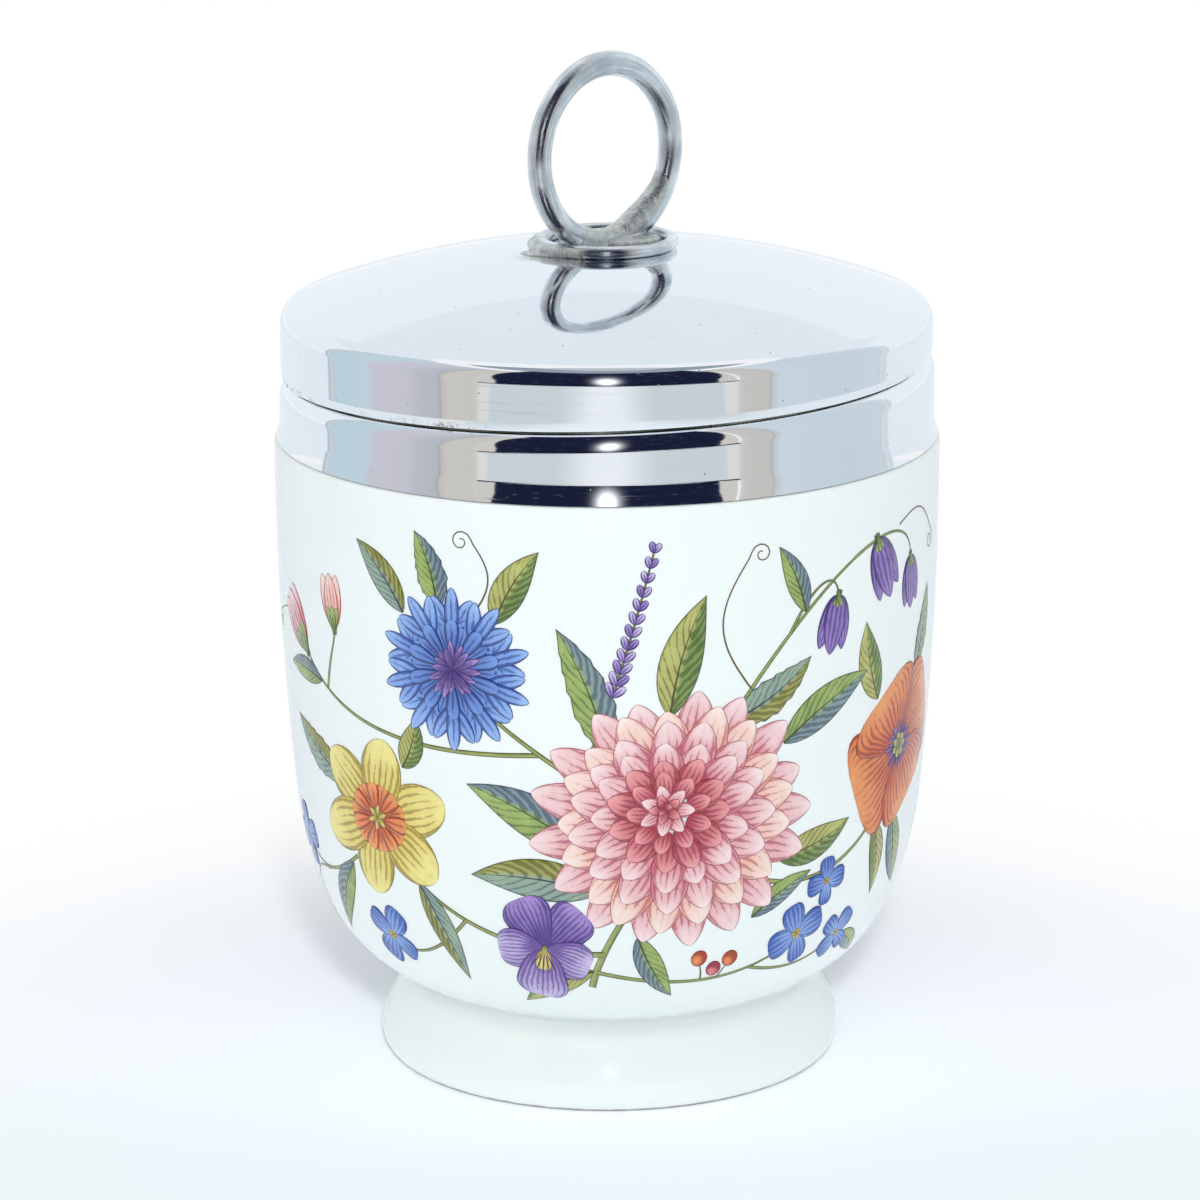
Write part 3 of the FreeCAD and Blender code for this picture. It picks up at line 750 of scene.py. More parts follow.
def cornflower(centre, reach, facing, layer):
    """A cornflower: trumpets with toothed mouths round a tuft of dark florets."""
    patches = petal_ring(20, centre, facing, 0.0, 0.66 * reach, 0.115 * reach, DEEP_BLUE, layer, 0.5,
                         base=0.8, point=0.4, strokes=2.0, rows=8, columns=4)
    for i in range(10):
        angle = facing + 2 * math.pi * i / 10
        out = Vector((math.cos(angle), math.sin(angle)))
        neck = Vector(centre) + out * reach * 0.45
        for turn in (-0.55, 0.0, 0.55):
            patches.append(petal(neck, angle + turn, -0.1 * reach, reach * (0.56 - 0.10 * abs(turn)),
                                 reach * 0.10, BLUE, layer + i % 2 + (0.5 if turn else 1.0), base=0.8,
                                 point=0.6, strokes=1.5, rows=8, columns=4))
        patches.append(petal(centre, angle, 0.1 * reach, 0.62 * reach, 0.10 * reach, DEEP_BLUE, layer + 3,
                             base=1.1, point=0.4, strokes=1.5, rows=6, columns=4))
    for i in range(16):
        angle = 2 * math.pi * i / 16 + garden.uniform(-0.1, 0.1)
        patches.append(petal(centre, angle, 0.0, reach * garden.uniform(0.26, 0.4), 0.05 * reach, PURPLE,
                             layer + 5 + i % 3, rows=6, columns=2, strokes=0.5))
    return patches


def daffodil(centre, reach, facing, layer):
    """A daffodil: six pale yellow petals behind a frilled orange cup."""
    patches = []
    for i in (0, 2, 4, 1, 3, 5):
        angle = facing + math.pi * i / 3
        patches.append(petal(centre, angle, 0.1 * reach, reach, 0.30 * reach, YELLOW, layer + i % 2, base=0.6,
                             point=0.55, bend=garden.uniform(-0.3, 0.3), strokes=4.0, depth=0.8, squash=0.9))
    patches += petal_ring(14, centre, facing, 0.08 * reach, 0.42 * reach, 0.10 * reach, ORANGE, layer + 3,
                          base=0.8, point=0.25, strokes=1.5, rows=8, columns=4, squash=0.9)
    return patches + petal_ring(6, centre, facing, 0.0, 0.14 * reach, 0.035 * reach, YELLOW, layer + 6, 0.0,
                                rows=6, columns=2)


def poppy(centre, reach, facing, layer):
    """A field poppy: broad ruffled petals round a dark ring of stamens and a green pod."""
    patches = []
    for i, share in ((0, 1.0), (2, 1.0), (1, 0.92), (3, 0.92)):
        angle = facing + math.pi * i / 2
        patches.append(petal(centre, angle, 0.02 * reach, reach * share, 0.68 * reach, ORANGE, layer + i % 2,
                             base=0.75, point=0.30, ruffle=0.04, strokes=9.0, depth=1.0, pale_tip=0.85,
                             squash=0.85, rows=16, columns=14))
    for i in range(26):
        angle = 2 * math.pi * i / 26 + garden.uniform(-0.08, 0.08)
        patches.append(petal(centre, angle, 0.1 * reach, reach * garden.uniform(0.26, 0.38), 0.022 * reach,
                             PURPLE, layer + 3 + i % 2, rows=5, columns=2, squash=0.85))
    return patches + petal_ring(7, centre, 0.0, 0.0, 0.15 * reach, 0.06 * reach, OLIVE, layer + 5,
                                rows=6, columns=4)


def speedwell(centre, reach, facing, layer):
    """A small blue flower with four round petals and a pale eye."""
    patches = []
    for i, width in ((0, 0.46), (2, 0.46), (1, 0.40), (3, 0.34)):
        patches.append(petal(centre, facing + math.pi * i / 2, 0.02 * reach, reach, width * reach, BLUE,
                             layer + i % 2, base=0.6, point=0.32, strokes=3.0, depth=0.3, pale_tip=-0.6,
                             rows=10, columns=8))
    return patches + petal_ring(6, centre, 0.0, 0.0, 0.17 * reach, 0.07 * reach, YELLOW, layer + 3,
                                rows=5, columns=2)


def harebell(root, facing, size, layer):
    """A nodding bell with pointed lobes, and the green cup that holds it."""
    patches = []
    for turn, width in ((-0.34, 0.20), (0.34, 0.20), (0.0, 0.26)):
        patches.append(petal(root, facing + turn * 0.8, 0.0, size * (1.0 if turn else 1.06), width * size,
                             PURPLE, layer + (1 if turn == 0 else 0) + (0.5 if turn > 0 else 0), base=0.45,
                             point=0.7, bend=turn * 0.9, strokes=2.5, depth=0.7, pale_tip=0.2))
    for turn in (-0.5, 0.0, 0.5):
        patches.append(petal(root, facing + turn, -0.12 * size, 0.22 * size, 0.06 * size, LEAF, layer + 3,
                             rows=6, columns=2))
    return patches


def bud(root, facing, size, colours, layer):
    """A closed bud: three wrapped petals in a green cup."""
    patches = []
    for turn, width, order in ((-0.22, 0.20, 0), (0.22, 0.20, 1), (0.0, 0.22, 2)):
        patches.append(petal(root, facing + turn, 0.0, size, width * size, colours, layer + order, base=0.6,
                             point=0.7, strokes=2.5, depth=0.8))
    for turn in (-0.4, 0.4, 0.0):
        patches.append(petal(root, facing + turn, -0.12 * size, 0.42 * size, 0.09 * size, LEAF, layer + 3.5,
                             rows=6, columns=4, strokes=1.0))
    return patches


def viola(centre, reach, facing, layer):
    """A garden viola: two dark upper petals, two paler wings, and a broad lip with a yellow blotch."""
    patches = []
    for turn, length, width, colours, order in (
        (2.55, 1.0, 0.44, PURPLE, 0), (-2.55, 1.0, 0.44, PURPLE, 1), (1.35, 0.88, 0.38, VIOLET, 2),
        (-1.35, 0.88, 0.38, VIOLET, 2.5), (0.0, 1.0, 0.50, VIOLET, 3.5),
    ):
        patches.append(petal(centre, facing + turn, 0.02 * reach, length * reach, width * reach, colours,
                             layer + order, base=0.62, point=0.30, strokes=6.0, depth=1.0, pale_tip=0.7,
                             ruffle=0.04, rows=14, columns=12))
    patches.append(petal(centre, facing, 0.0, 0.42 * reach, 0.17 * reach, YELLOW, layer + 4.5, base=0.6,
                         point=0.3, strokes=2.5, depth=0.7, pale_tip=0.2))
    for i in range(5):
        patches.append(petal(centre, facing + (i - 2) * 0.26, 0.1 * reach, 0.5 * reach, 0.014 * reach, PURPLE,
                             layer + 5, rows=6, columns=2))
    patches.append(petal(centre, facing, -0.07 * reach, 0.09 * reach, 0.07 * reach, OLIVE, layer + 5.5,
                         rows=6, columns=4))
    return patches


def lavender(points, count, layer):
    """A spike of lavender: a straight stalk with pairs of small florets that close up towards the tip."""
    line = through(*points)
    patches = [stem(points, 0.20, STEM, layer)]
    for i in range(count):
        s = 0.42 + 0.56 * i / (count - 1)
        here, ahead = line(s), line(min(s + 0.02, 1.0)) - line(s - 0.02)
        along = math.atan2(ahead.y, ahead.x)
        for side in (-1, 1):
            patches.append(petal(here, along + side * (0.75 - 0.35 * s), 0.0, 2.0 - 0.8 * s, 0.52 - 0.16 * s,
                                 VIOLET if (i + side) % 3 else PURPLE, layer + 1 + 0.5 * (i % 2), base=0.6,
                                 point=0.5, strokes=1.5, depth=0.9, rows=6, columns=4))
    return patches


def berry(centre, size, colours, layer):
    """A round berry with a light spot."""
    def shade(s, t):
        return min(1.0, 0.25 + 0.75 * math.hypot(2 * s - 0.75, t - 0.35))
    return film_patch(through((centre[0] - size, centre[1]), (centre[0] + size, centre[1])), size,
                      swell(0.5, 0.5), colours, shade, flat(0.25), layer, 10, 8)


def tendril(start, curl, turns, direction, layer):
    """A thread that runs out from a stalk and winds up into a small coil."""
    start, curl = Vector(start), Vector(curl)
    reach = curl - start

    def at(s):
        bow = Vector((reach.y, -reach.x)) * 0.22 * math.sin(math.pi * min(s / 0.6, 1.0)) * direction
        if s < 0.6:
            return start + reach * (s / 0.6) + bow
        around = (s - 0.6) / 0.4
        radius = 1.15 * (1 - 0.8 * around)
        first = math.atan2(reach.y, reach.x) - direction * math.pi / 2
        angle = first + direction * 2 * math.pi * turns * around
        hub = curl - Vector((math.cos(first), math.sin(first))) * 1.15
        return hub + Vector((math.cos(angle), math.sin(angle))) * radius
    return film_patch(at, 0.10, lambda s: 1.0 - 0.4 * s, BROWN, flat(0.7), flat(0.0), layer, 56, 2)


stalks = [stem(points, width, STEM, layer) for points, width, layer in (
    ([(-2, 15), (-1, 20), (4, 27), (7, 32)], 0.44, 0),
    ([(-0.6, 19), (-8, 19), (-18, 20), (-26, 30)], 0.34, 1),
    ([(3, 34), (-4, 38), (-10, 42), (-15.5, 47)], 0.32, 2),
    ([(9, 38), (14, 47), (22, 57), (30, 58.5)], 0.27, 0),
    ([(18.4, 51.1), (21, 56), (24, 57), (24.3, 54)], 0.19, 1),
    ([(26.4, 57.3), (32, 60), (36.5, 58.8), (36.5, 55.5)], 0.19, 1),
    ([(12, 28), (22, 22), (31, 26), (36, 35)], 0.30, 1),
    ([(-6.8, 40.1), (-20, 39), (-31, 40), (-37, 46)], 0.27, 1),
    ([(-32.8, 43), (-32, 47), (-31, 48), (-31, 49.5)], 0.20, 0),
    ([(-1.5, 16.9), (8, 14.5), (16, 14.5), (23, 19)], 0.25, 1),
    ([(16.4, 16.1), (22, 14.5), (26, 15), (29, 17.5)], 0.20, 2),
    ([(22, 18), (25, 20), (25, 21), (25, 24)], 0.18, 1),
    ([(10.5, 15.4), (10.6, 16.2), (10.2, 17), (10, 18)], 0.12, 2),
    ([(12.5, 15.4), (12.8, 16), (13.2, 16.4), (13.6, 17.4)], 0.12, 2),
    ([(-15.7, 21.8), (-20, 17), (-24, 16), (-27, 17.5)], 0.22, 2),
    ([(-30, 26), (-36, 22), (-40, 22), (-43, 25)], 0.22, 2),
)]
leaves = []
for root, tip, bend, width, colours, layer, teeth in (
    ((-2, 30), (-14.5, 36.5), 1.4, 2.3, LEAF, 3, 0),
    ((-1, 26), (-14.5, 27), 1.4, 2.2, SLATE, 3, 0),
    ((0, 40), (-5, 53), 1.2, 2.2, LEAF, 3, 6),
    ((6, 44), (9.5, 56), -1.2, 2.1, OLIVE, 4, 0),
    ((12, 43), (21, 48.5), 1.2, 2.0, SLATE, 3, 7),
    ((18, 40), (29, 45.5), -1.2, 2.0, LEAF, 4, 0),
    ((18, 28), (27.5, 30.5), 1.0, 1.8, OLIVE, 3, 0),
    ((3, 21), (7.5, 13.5), 1.0, 1.5, LEAF, 3, 0),
    ((-1.7, 17), (-10.5, 12.6), 0.9, 1.4, OLIVE, 3, 0),
    ((15.5, 22), (22.5, 26), -0.8, 1.3, LEAF, 3, 0),
    ((-31, 34), (-41, 38.5), -1.1, 2.0, SLATE, 3, 7),
    ((-31, 25), (-37.5, 16), 1.0, 1.6, LEAF, 3, 0),
    ((-21, 25), (-17, 14.5), -0.9, 1.5, SLATE, 3, 0),
    ((-22, 37), (-20, 42.5), 0.8, 1.5, OLIVE, 3, 0),
    ((-17, 54), (-19.5, 61.5), 1.0, 1.8, LEAF, 3, 6),
    ((-11, 53), (-6.5, 60.5), -1.0, 1.7, OLIVE, 4, 0),
    ((-21, 53), (-27, 59.5), 1.0, 1.6, SLATE, 4, 0),
    ((36, 29), (40.5, 20), 1.1, 1.7, LEAF, 3, 0),
    ((32, 29), (34, 20.5), -0.9, 1.4, OLIVE, 4, 0),
    ((31, 42), (28.5, 50.5), -1.0, 1.8, OLIVE, 3, 0),
    ((39, 43), (42, 51.5), 1.0, 1.7, SLATE, 4, 7),
    ((20.2, 53), (17, 60), 0.8, 1.3, LEAF, 3, 0),
    ((30, 17), (36, 13.6), -0.7, 1.1, LEAF, 3, 0),
    ((-34, 43.4), (-42, 43.6), 0.8, 1.3, LEAF, 3, 0),
):
    leaves += leaf(root, tip, bend, width, colours, layer, teeth)
threads = [
    tendril((-13, 54), (-13.2, 61), 1.3, 1, 1),
    tendril((14.2, 46.1), (14, 59.5), 1.3, -1, 1),
    tendril((34, 59.2), (42.5, 57), 1.4, -1, 1),
    tendril((-37, 46), (-46, 48), 1.3, 1, 1),
    tendril((-37, 22.7), (-44.5, 17), 1.3, 1, 1),
]
round_bloom = dahlia((7, 33), 14.5, 6)
blooms = cornflower((-15.5, 48), 8.2, 0.3, 6)
blooms += daffodil((-26, 31), 9.5, 0.35, 6)
blooms += poppy((36, 36), 9.0, 0.5, 6)
blooms += viola((-7, 19.5), 6.0, -1.75, 8)
small_blooms = []
for flower, *form in (
    (harebell, (30, 58.5), -1.2, 6.4, 6),
    (harebell, (24.3, 54), -1.75, 5.6, 6),
    (harebell, (36.5, 55.5), -1.5, 5.2, 6),
    (speedwell, (22, 19), 3.7, 0.4, 7),
    (speedwell, (29, 17.5), 2.9, 0.9, 7),
    (speedwell, (25, 24.2), 2.7, 0.1, 9),
    (speedwell, (-27, 18), 3.6, 1.0, 7),
    (speedwell, (-43, 25), 3.4, 0.2, 7),
    (bud, (-37, 46), 2.3, 7.0, PINK, 6),
    (bud, (-31, 49.5), 1.7, 5.6, CORAL, 6),
    (lavender, [(-3, 37.6), (0, 44), (2, 51), (4.5, 61)], 12, 2),
):
    small_blooms += flower(*form)
small_blooms += [berry((10, 18), 0.95, ORANGE, 5), berry((13.7, 17.6), 0.95, ORANGE, 5),
                 berry((11.9, 16.6), 0.9, CRIMSON, 5)]
join_patches("printed_stalks", stalks + threads)
join_patches("printed_leaves", leaves)
join_patches("printed_dahlia", round_bloom)
join_patches("printed_flowers", blooms)
join_patches("printed_small_flowers", small_blooms)

# ---- Cement ----
# The collar is bedded on the neck in a ring of hard white cement, which shows only as a thin line under
# the collar's top edge.

# Hard bedding cement: dull, chalky and slightly gritty, with no gloss at all.
bedding_cement, cement_tree, cement_shader, cement_place = new_material("bedding_cement")
cement_grit = add_node(cement_tree, "TexNoise", {"Vector": cement_place, "Scale": 1500.0, "Detail": 4.0})
cement_stain = add_node(cement_tree, "TexNoise", {"Vector": cement_place, "Scale": 140.0, "Detail": 3.0})
cement_tone = add_node(cement_tree, "Math", {0: cement_grit, 1: cement_stain}, operation="MULTIPLY")
cement_depth = add_node(cement_tree, "MapRange", {"Value": cement_tone, "From Min": 0.12, "From Max": 0.38})
cement_colour = add_node(cement_tree, "Mix", {0: cement_depth, 6: "#A79E8C", 7: "#D6D1C5"}, data_type="RGBA")
cement_bump = add_node(cement_tree, "Bump", {"Height": cement_grit, "Strength": 0.8, "Distance": 0.06 * MM})
set_sockets(cement_shader, {"Roughness": 0.9, "Base Color": cement_colour, "Normal": cement_bump})
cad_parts["collar_cement"].data.materials.clear()
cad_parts["collar_cement"].data.materials.append(bedding_cement)

# ---- Screw collar ----
# One spinning of chromium-plated sheet: a foot that curves out to the glaze, a plain band, a rounded
# shoulder that climbs one turn of the screw, and the threaded neck above it.

screw_pitch = 5.2
step_angle = math.radians(50.0)
collar_foot = 65.0
collar_side = 33.1
collar_flare = 0.4
collar_flare_height = 2.4
collar_sheet = 0.6
shoulder_height = 69.9
shoulder_rounding = 2.45
neck_side = 30.6
collar_top = 77.8


def raise_by_screw(piece, lowest, highest, start_angle):
    """Lifts what lies between two heights along one turn of the screw. The last column makes the step."""
    climb = piece.vertex_groups.new(name="climb")
    for vertex in piece.data.vertices:
        if lowest * MM < vertex.co.z < highest * MM:
            around = math.atan2(vertex.co.y, vertex.co.x) - start_angle + 1e-4
            climb.add([vertex.index], (around % (2 * math.pi)) / (2 * math.pi), "REPLACE")
    apply_modifier(piece, "climb", "DISPLACE", vertex_group="climb", direction="Z", mid_level=0.0,
                   strength=screw_pitch * MM)
    piece.vertex_groups.clear()


def collar_face(inset, steps):
    """The collar's outline from the foot to the top edge, set in by the sheet for its inside."""
    side = collar_side - inset
    curve = (collar_flare ** 2 + collar_flare_height ** 2) / (2 * collar_flare)
    sweep = math.asin(collar_flare_height / curve)
    flare = arc_spots((side + curve, collar_foot + collar_flare_height), curve, math.pi + sweep, math.pi, 10)
    rounding = shoulder_rounding - inset
    centre = (collar_side - shoulder_rounding, shoulder_height - shoulder_rounding)
    shoulder = arc_spots(centre, rounding, 0.0, math.pi / 2, steps)
    return flare + shoulder + [
        (neck_side - inset, shoulder_height - inset),
        (neck_side - inset, collar_top - 0.1),
    ]


outside = collar_face(0.0, 20)
inside = collar_face(collar_sheet, 10)
collar_spots = outside + [(neck_side - 0.1, collar_top), (neck_side - collar_sheet + 0.1, collar_top)]
collar_spots += reversed(inside)
collar_spots.append(outside[0])
collar_shell = spun_piece("screw_collar", collar_spots, 360, step_angle)
raise_by_screw(collar_shell, shoulder_height - shoulder_rounding - 0.1, shoulder_height + 0.1, step_angle)
smooth_faces(collar_shell)

flux_smear_place = camera_right * -5.6 + camera_near * 3.4 + Vector((0, 0, 83.6))
thread_base_width = 1.6
thread_crest_width = 0.8
thread_height = 0.8
thread_sink = 0.2
thread_rise = 2.425
thread_start = 0.03
thread_end = 0.88
thread_steps = 300
thread_sharp_angle = math.radians(30.0)
thread_merge_distance = 0.002

thread_middle = shoulder_height + thread_rise + screw_pitch * thread_start
thread_foot = neck_side - thread_sink
thread_crest = neck_side + thread_height
thread_ridge = drawn_line("thread_ridge", [Vector((reach, 0, thread_middle + rise)) * MM for reach, rise in (
    (thread_foot, -thread_base_width / 2), (neck_side, -thread_base_width / 2),
    (thread_crest, -thread_crest_width / 2), (thread_crest, thread_crest_width / 2),
    (neck_side, thread_base_width / 2), (thread_foot, thread_base_width / 2))])
bpy.ops.mesh.edge_face_add()
bpy.ops.object.mode_set(mode="OBJECT")
thread_ridge.data.transform(Matrix.Rotation(step_angle + 2 * math.pi * thread_start, 4, "Z"))
apply_modifier(thread_ridge, "winding", "SCREW", axis="Z", angle=2 * math.pi * (thread_end - thread_start),
               screw_offset=screw_pitch * (thread_end - thread_start) * MM, steps=thread_steps,
               render_steps=thread_steps, use_normal_calculate=True)
select_only(thread_ridge)
bpy.ops.object.mode_set(mode="EDIT")
bpy.ops.mesh.select_all(action="SELECT")
bpy.ops.mesh.remove_doubles(threshold=thread_merge_distance * MM)
bpy.ops.mesh.select_all(action="DESELECT")
bpy.ops.mesh.select_mode(type="EDGE")
bpy.ops.mesh.select_non_manifold(extend=False, use_boundary=True, use_wire=False, use_multi_face=False,
                                 use_non_contiguous=False, use_verts=False)
bpy.ops.mesh.edge_face_add()
bpy.ops.mesh.select_mode(type="VERT")
bpy.ops.mesh.select_all(action="SELECT")
bpy.ops.mesh.normals_make_consistent(inside=False)
bpy.ops.object.mode_set(mode="OBJECT")
bpy.ops.object.shade_smooth_by_angle(angle=thread_sharp_angle)
select_only(collar_shell, thread_ridge)
bpy.ops.object.join()

# Bright chromium plate on polished brass: a cool mirror with the faint orange peel of the polishing, a few
# pits where the plate has lifted, hairlines from wiping (drawn wider than the real ones), and grime in the
# seam.
chrome_plate, plate, plate_shader, plate_place = new_material("chromium_plate")
plate_axes = add_node(plate, "SeparateXYZ", {0: plate_place})
plate_tone = add_node(plate, "TexNoise", {"Vector": plate_place, "Scale": 80.0, "Detail": 3.0})
plate_colour = add_node(plate, "Mix", {0: plate_tone, 6: "#EAEEF3", 7: "#F3F5F8"}, data_type="RGBA")
pit_cells = add_node(plate, "TexVoronoi", {"Vector": plate_place, "Scale": 760.0})
pit_shape = add_node(plate, "MapRange", {
    "Value": pit_cells, "From Min": 0.04, "From Max": 0.085, "To Min": 1.0, "To Max": 0.0})
pit_choice = add_node(plate, "SeparateColor", {0: pit_cells.outputs["Color"]})
few_pits = add_node(plate, "MapRange", {"Value": pit_choice.outputs[0], "From Min": 0.74, "From Max": 0.76})
pits = add_node(plate, "Math", {0: pit_shape, 1: few_pits}, operation="MULTIPLY")
hairlines = []
for turn in ((0.5, 1.2, 0.3), (1.9, 0.4, 1.1)):
    wiped = add_node(plate, "Mapping", {
        "Vector": plate_place, "Rotation": turn, "Scale": (70.0, 70.0, 3200.0)})
    lines = add_node(plate, "TexNoise", {"Vector": wiped, "Scale": 1.0, "Detail": 1.0})
    hairlines.append(add_node(plate, "MapRange", {"Value": lines, "From Min": 0.69, "From Max": 0.75}))
hairline = add_node(plate, "Math", {
    0: hairlines[0].outputs[0], 1: hairlines[1].outputs[0]}, operation="MAXIMUM")
plate_turn = add_node(plate, "Math", {
    0: plate_axes.outputs[1], 1: plate_axes.outputs[0]}, operation="ARCTAN2")
from_step = add_node(plate, "Math", {0: plate_turn, 1: step_angle}, operation="SUBTRACT")
once_round = add_node(plate, "Math", {0: from_step, 1: 2 * math.pi}, operation="FLOORED_MODULO")
seam_height = add_node(plate, "Math", {
    0: once_round, 1: screw_pitch * MM / (2 * math.pi), 2: (shoulder_height - 0.15) * MM},
    operation="MULTIPLY_ADD")
above_seam = add_node(plate, "Math", {0: plate_axes.outputs[2], 1: seam_height}, operation="SUBTRACT")
off_seam = add_node(plate, "Math", {0: above_seam}, operation="ABSOLUTE")
near_seam = add_node(plate, "MapRange", {
    "Value": off_seam, "From Min": 0.10 * MM, "From Max": 0.50 * MM, "To Min": 1.0, "To Max": 0.0})
crumbs = add_node(plate, "TexNoise", {
    "Vector": plate_place, "Scale": 1100.0, "Detail": 5.0, "Roughness": 0.7})
crumb_cover = add_node(plate, "MapRange", {"Value": crumbs, "From Min": 0.50, "From Max": 0.60})
dirty_stretch = add_node(plate, "TexNoise", {"Vector": plate_place, "Scale": 42.0, "Detail": 2.0})
dirty_side = add_node(plate, "VectorMath", {0: plate_place, 1: camera_right}, operation="DOT_PRODUCT")
dirty_sector = add_node(plate, "MapRange", {
    "Value": dirty_side, "From Min": -31 * MM, "From Max": -20 * MM, "To Min": 0.22, "To Max": -0.08})
dirty_sum = add_node(plate, "Math", {0: dirty_stretch, 1: dirty_sector}, operation="ADD")
dirty_here = add_node(plate, "MapRange", {"Value": dirty_sum, "From Min": 0.52, "From Max": 0.70})
seam_crumbs = add_node(plate, "Math", {0: near_seam, 1: crumb_cover}, operation="MULTIPLY")
grime = add_node(plate, "Math", {0: seam_crumbs, 1: dirty_here}, operation="MULTIPLY")
flux_spot = add_node(plate, "VectorMath", {0: plate_place, 1: flux_smear_place * MM}, operation="DISTANCE")
flux_far = add_node(plate, "Math", {0: crumbs, 1: 5.0 * MM, 2: flux_spot}, operation="MULTIPLY_ADD")
flux_smear = add_node(plate, "MapRange", {
    "Value": flux_far, "From Min": 4.6 * MM, "From Max": 6.4 * MM, "To Min": 0.9, "To Max": 0.0})
pitted = add_node(plate, "Mix", {0: pits, 6: plate_colour, 7: "#8B9098"}, data_type="RGBA")
fluxed = add_node(plate, "Mix", {0: flux_smear, 6: pitted, 7: "#CFD1CE"}, data_type="RGBA")
soiled = add_node(plate, "Mix", {0: grime, 6: fluxed, 7: "#6E675D"}, data_type="RGBA")
wiped_gloss = add_node(plate, "Math", {0: hairline, 1: 0.10, 2: 0.045}, operation="MULTIPLY_ADD")
pit_gloss = add_node(plate, "Math", {0: pits, 1: 0.35, 2: wiped_gloss}, operation="MULTIPLY_ADD")
flux_gloss = add_node(plate, "Math", {0: flux_smear, 1: 0.45, 2: pit_gloss}, operation="MULTIPLY_ADD")
plate_gloss = add_node(plate, "Math", {
    0: grime, 1: 0.6, 2: flux_gloss}, operation="MULTIPLY_ADD", use_clamp=True)
orange_peel = add_node(plate, "TexNoise", {"Vector": plate_place, "Scale": 300.0, "Detail": 1.0})
peel_bump = add_node(plate, "Bump", {"Height": orange_peel, "Strength": 1.0, "Distance": 0.008 * MM})
pit_bump = add_node(plate, "Bump", {
    "Height": pits, "Strength": 1.0, "Distance": 0.02 * MM, "Normal": peel_bump}, invert=True)
set_sockets(plate_shader, {
    "Metallic": 1.0, "Base Color": soiled, "Roughness": plate_gloss, "Normal": pit_bump})
collar_shell.data.materials.append(chrome_plate)
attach(collar_shell, "cup")
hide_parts("collar")

# ---- Lid ----
# A shallow domed lid, spun from the same sheet. Its skirt ends in the same helix as the collar's shoulder,
# so the two edges close all round when the lid is turned home.

lid_side = 32.9
lid_sheet = 0.5
lid_edge = 69.53
skirt_taper = 0.95
lid_edge_rounding = 2.0
dome_curve = 92.0
dome_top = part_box("lid_shell")[1].z / MM
lid_step_angle = step_angle + 0.3 / lid_side


def lid_face(inset, steps):
    """The lid's outline from the middle of the dome out over its edge and down the skirt."""
    dome_centre = dome_top - dome_curve
    rounding = lid_edge_rounding - inset
    edge_radius = lid_side - lid_edge_rounding
    edge_rise = math.sqrt((dome_curve - lid_edge_rounding) ** 2 - edge_radius ** 2)
    meet = math.atan2(edge_rise, edge_radius)
    dome = arc_spots((0.0, dome_centre), dome_curve - inset, math.pi / 2, meet, steps)
    corner = arc_spots((edge_radius, dome_centre + edge_rise), rounding, meet, 0.0, steps // 2)
    return dome + corner[1:]


lid_spots = lid_face(0.0, 36)
lid_spots += [
    (lid_side, lid_edge + skirt_taper),
    (lid_side - 0.02, lid_edge + skirt_taper - 0.15),
    (lid_side - 0.12, lid_edge + 0.15),
    (lid_side - 0.16, lid_edge + 0.04),
    (lid_side - 0.25, lid_edge),
    (lid_side - lid_sheet + 0.1, lid_edge),
    (lid_side - lid_sheet, lid_edge + 0.1),
]
lid_spots += reversed(lid_face(lid_sheet, 20))
lid_cover = spun_piece("domed_lid", lid_spots, 360, lid_step_angle)
raise_by_screw(lid_cover, lid_edge - 0.1, lid_edge + skirt_taper + 0.1, lid_step_angle)
smooth_faces(lid_cover)
lid_cover.data.materials.append(chrome_plate)
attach(lid_cover, "lid")
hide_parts("lid_shell")

# Rolled brass strip with only a flash of nickel: warmer and duller than the outside, streaked round by the
# rolling and rubbed bright on the thread.
rolled_liner, liner, liner_shader, liner_place = new_material("nickel_flashed_brass")
rolled = add_node(liner, "Mapping", {"Vector": liner_place, "Scale": (90.0, 90.0, 2600.0)})
rolling_streaks = add_node(liner, "TexNoise", {"Vector": rolled, "Scale": 1.0, "Detail": 3.0})
liner_tarnish = add_node(liner, "TexNoise", {"Vector": liner_place, "Scale": 160.0, "Detail": 4.0})
liner_mix = add_node(liner, "Math", {0: rolling_streaks, 1: liner_tarnish}, operation="MULTIPLY")
liner_tone = add_node(liner, "MapRange", {"Value": liner_mix, "From Min": 0.14, "From Max": 0.36})
liner_colour = add_node(liner, "Mix", {0: liner_tone, 6: "#8E8670", 7: "#CBC6B8"}, data_type="RGBA")
liner_gloss = add_node(liner, "MapRange", {"Value": liner_tone, "To Min": 0.45, "To Max": 0.22})
liner_bump = add_node(liner, "Bump", {"Height": rolling_streaks, "Strength": 0.6, "Distance": 0.01 * MM})
set_sockets(liner_shader, {
    "Metallic": 1.0, "Base Color": liner_colour, "Roughness": liner_gloss, "Normal": liner_bump})
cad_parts["lid_thread_ring"].data.materials.clear()
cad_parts["lid_thread_ring"].data.materials.append(rolled_liner)

# ---- Loop, lifting ring and solder ----
# Two closed rings of drawn, plated wire. The thin loop lies flat on the dome, and the thick ring stands in
# it. Soft solder, run in by hand, holds both: it creeps up one leg and is smeared over one side of the loop.

ring_wire = 2.45
loop_wire = 1.35
loop_outer_radius = 7.3
loop_rise = 84.28
ring_stretch = 1.05
ring_seat = 83.82
hand_bend_scale = 3.2
solder_cell = 0.12
solder_lump_size = 1.4
solder_lump_height = 0.16


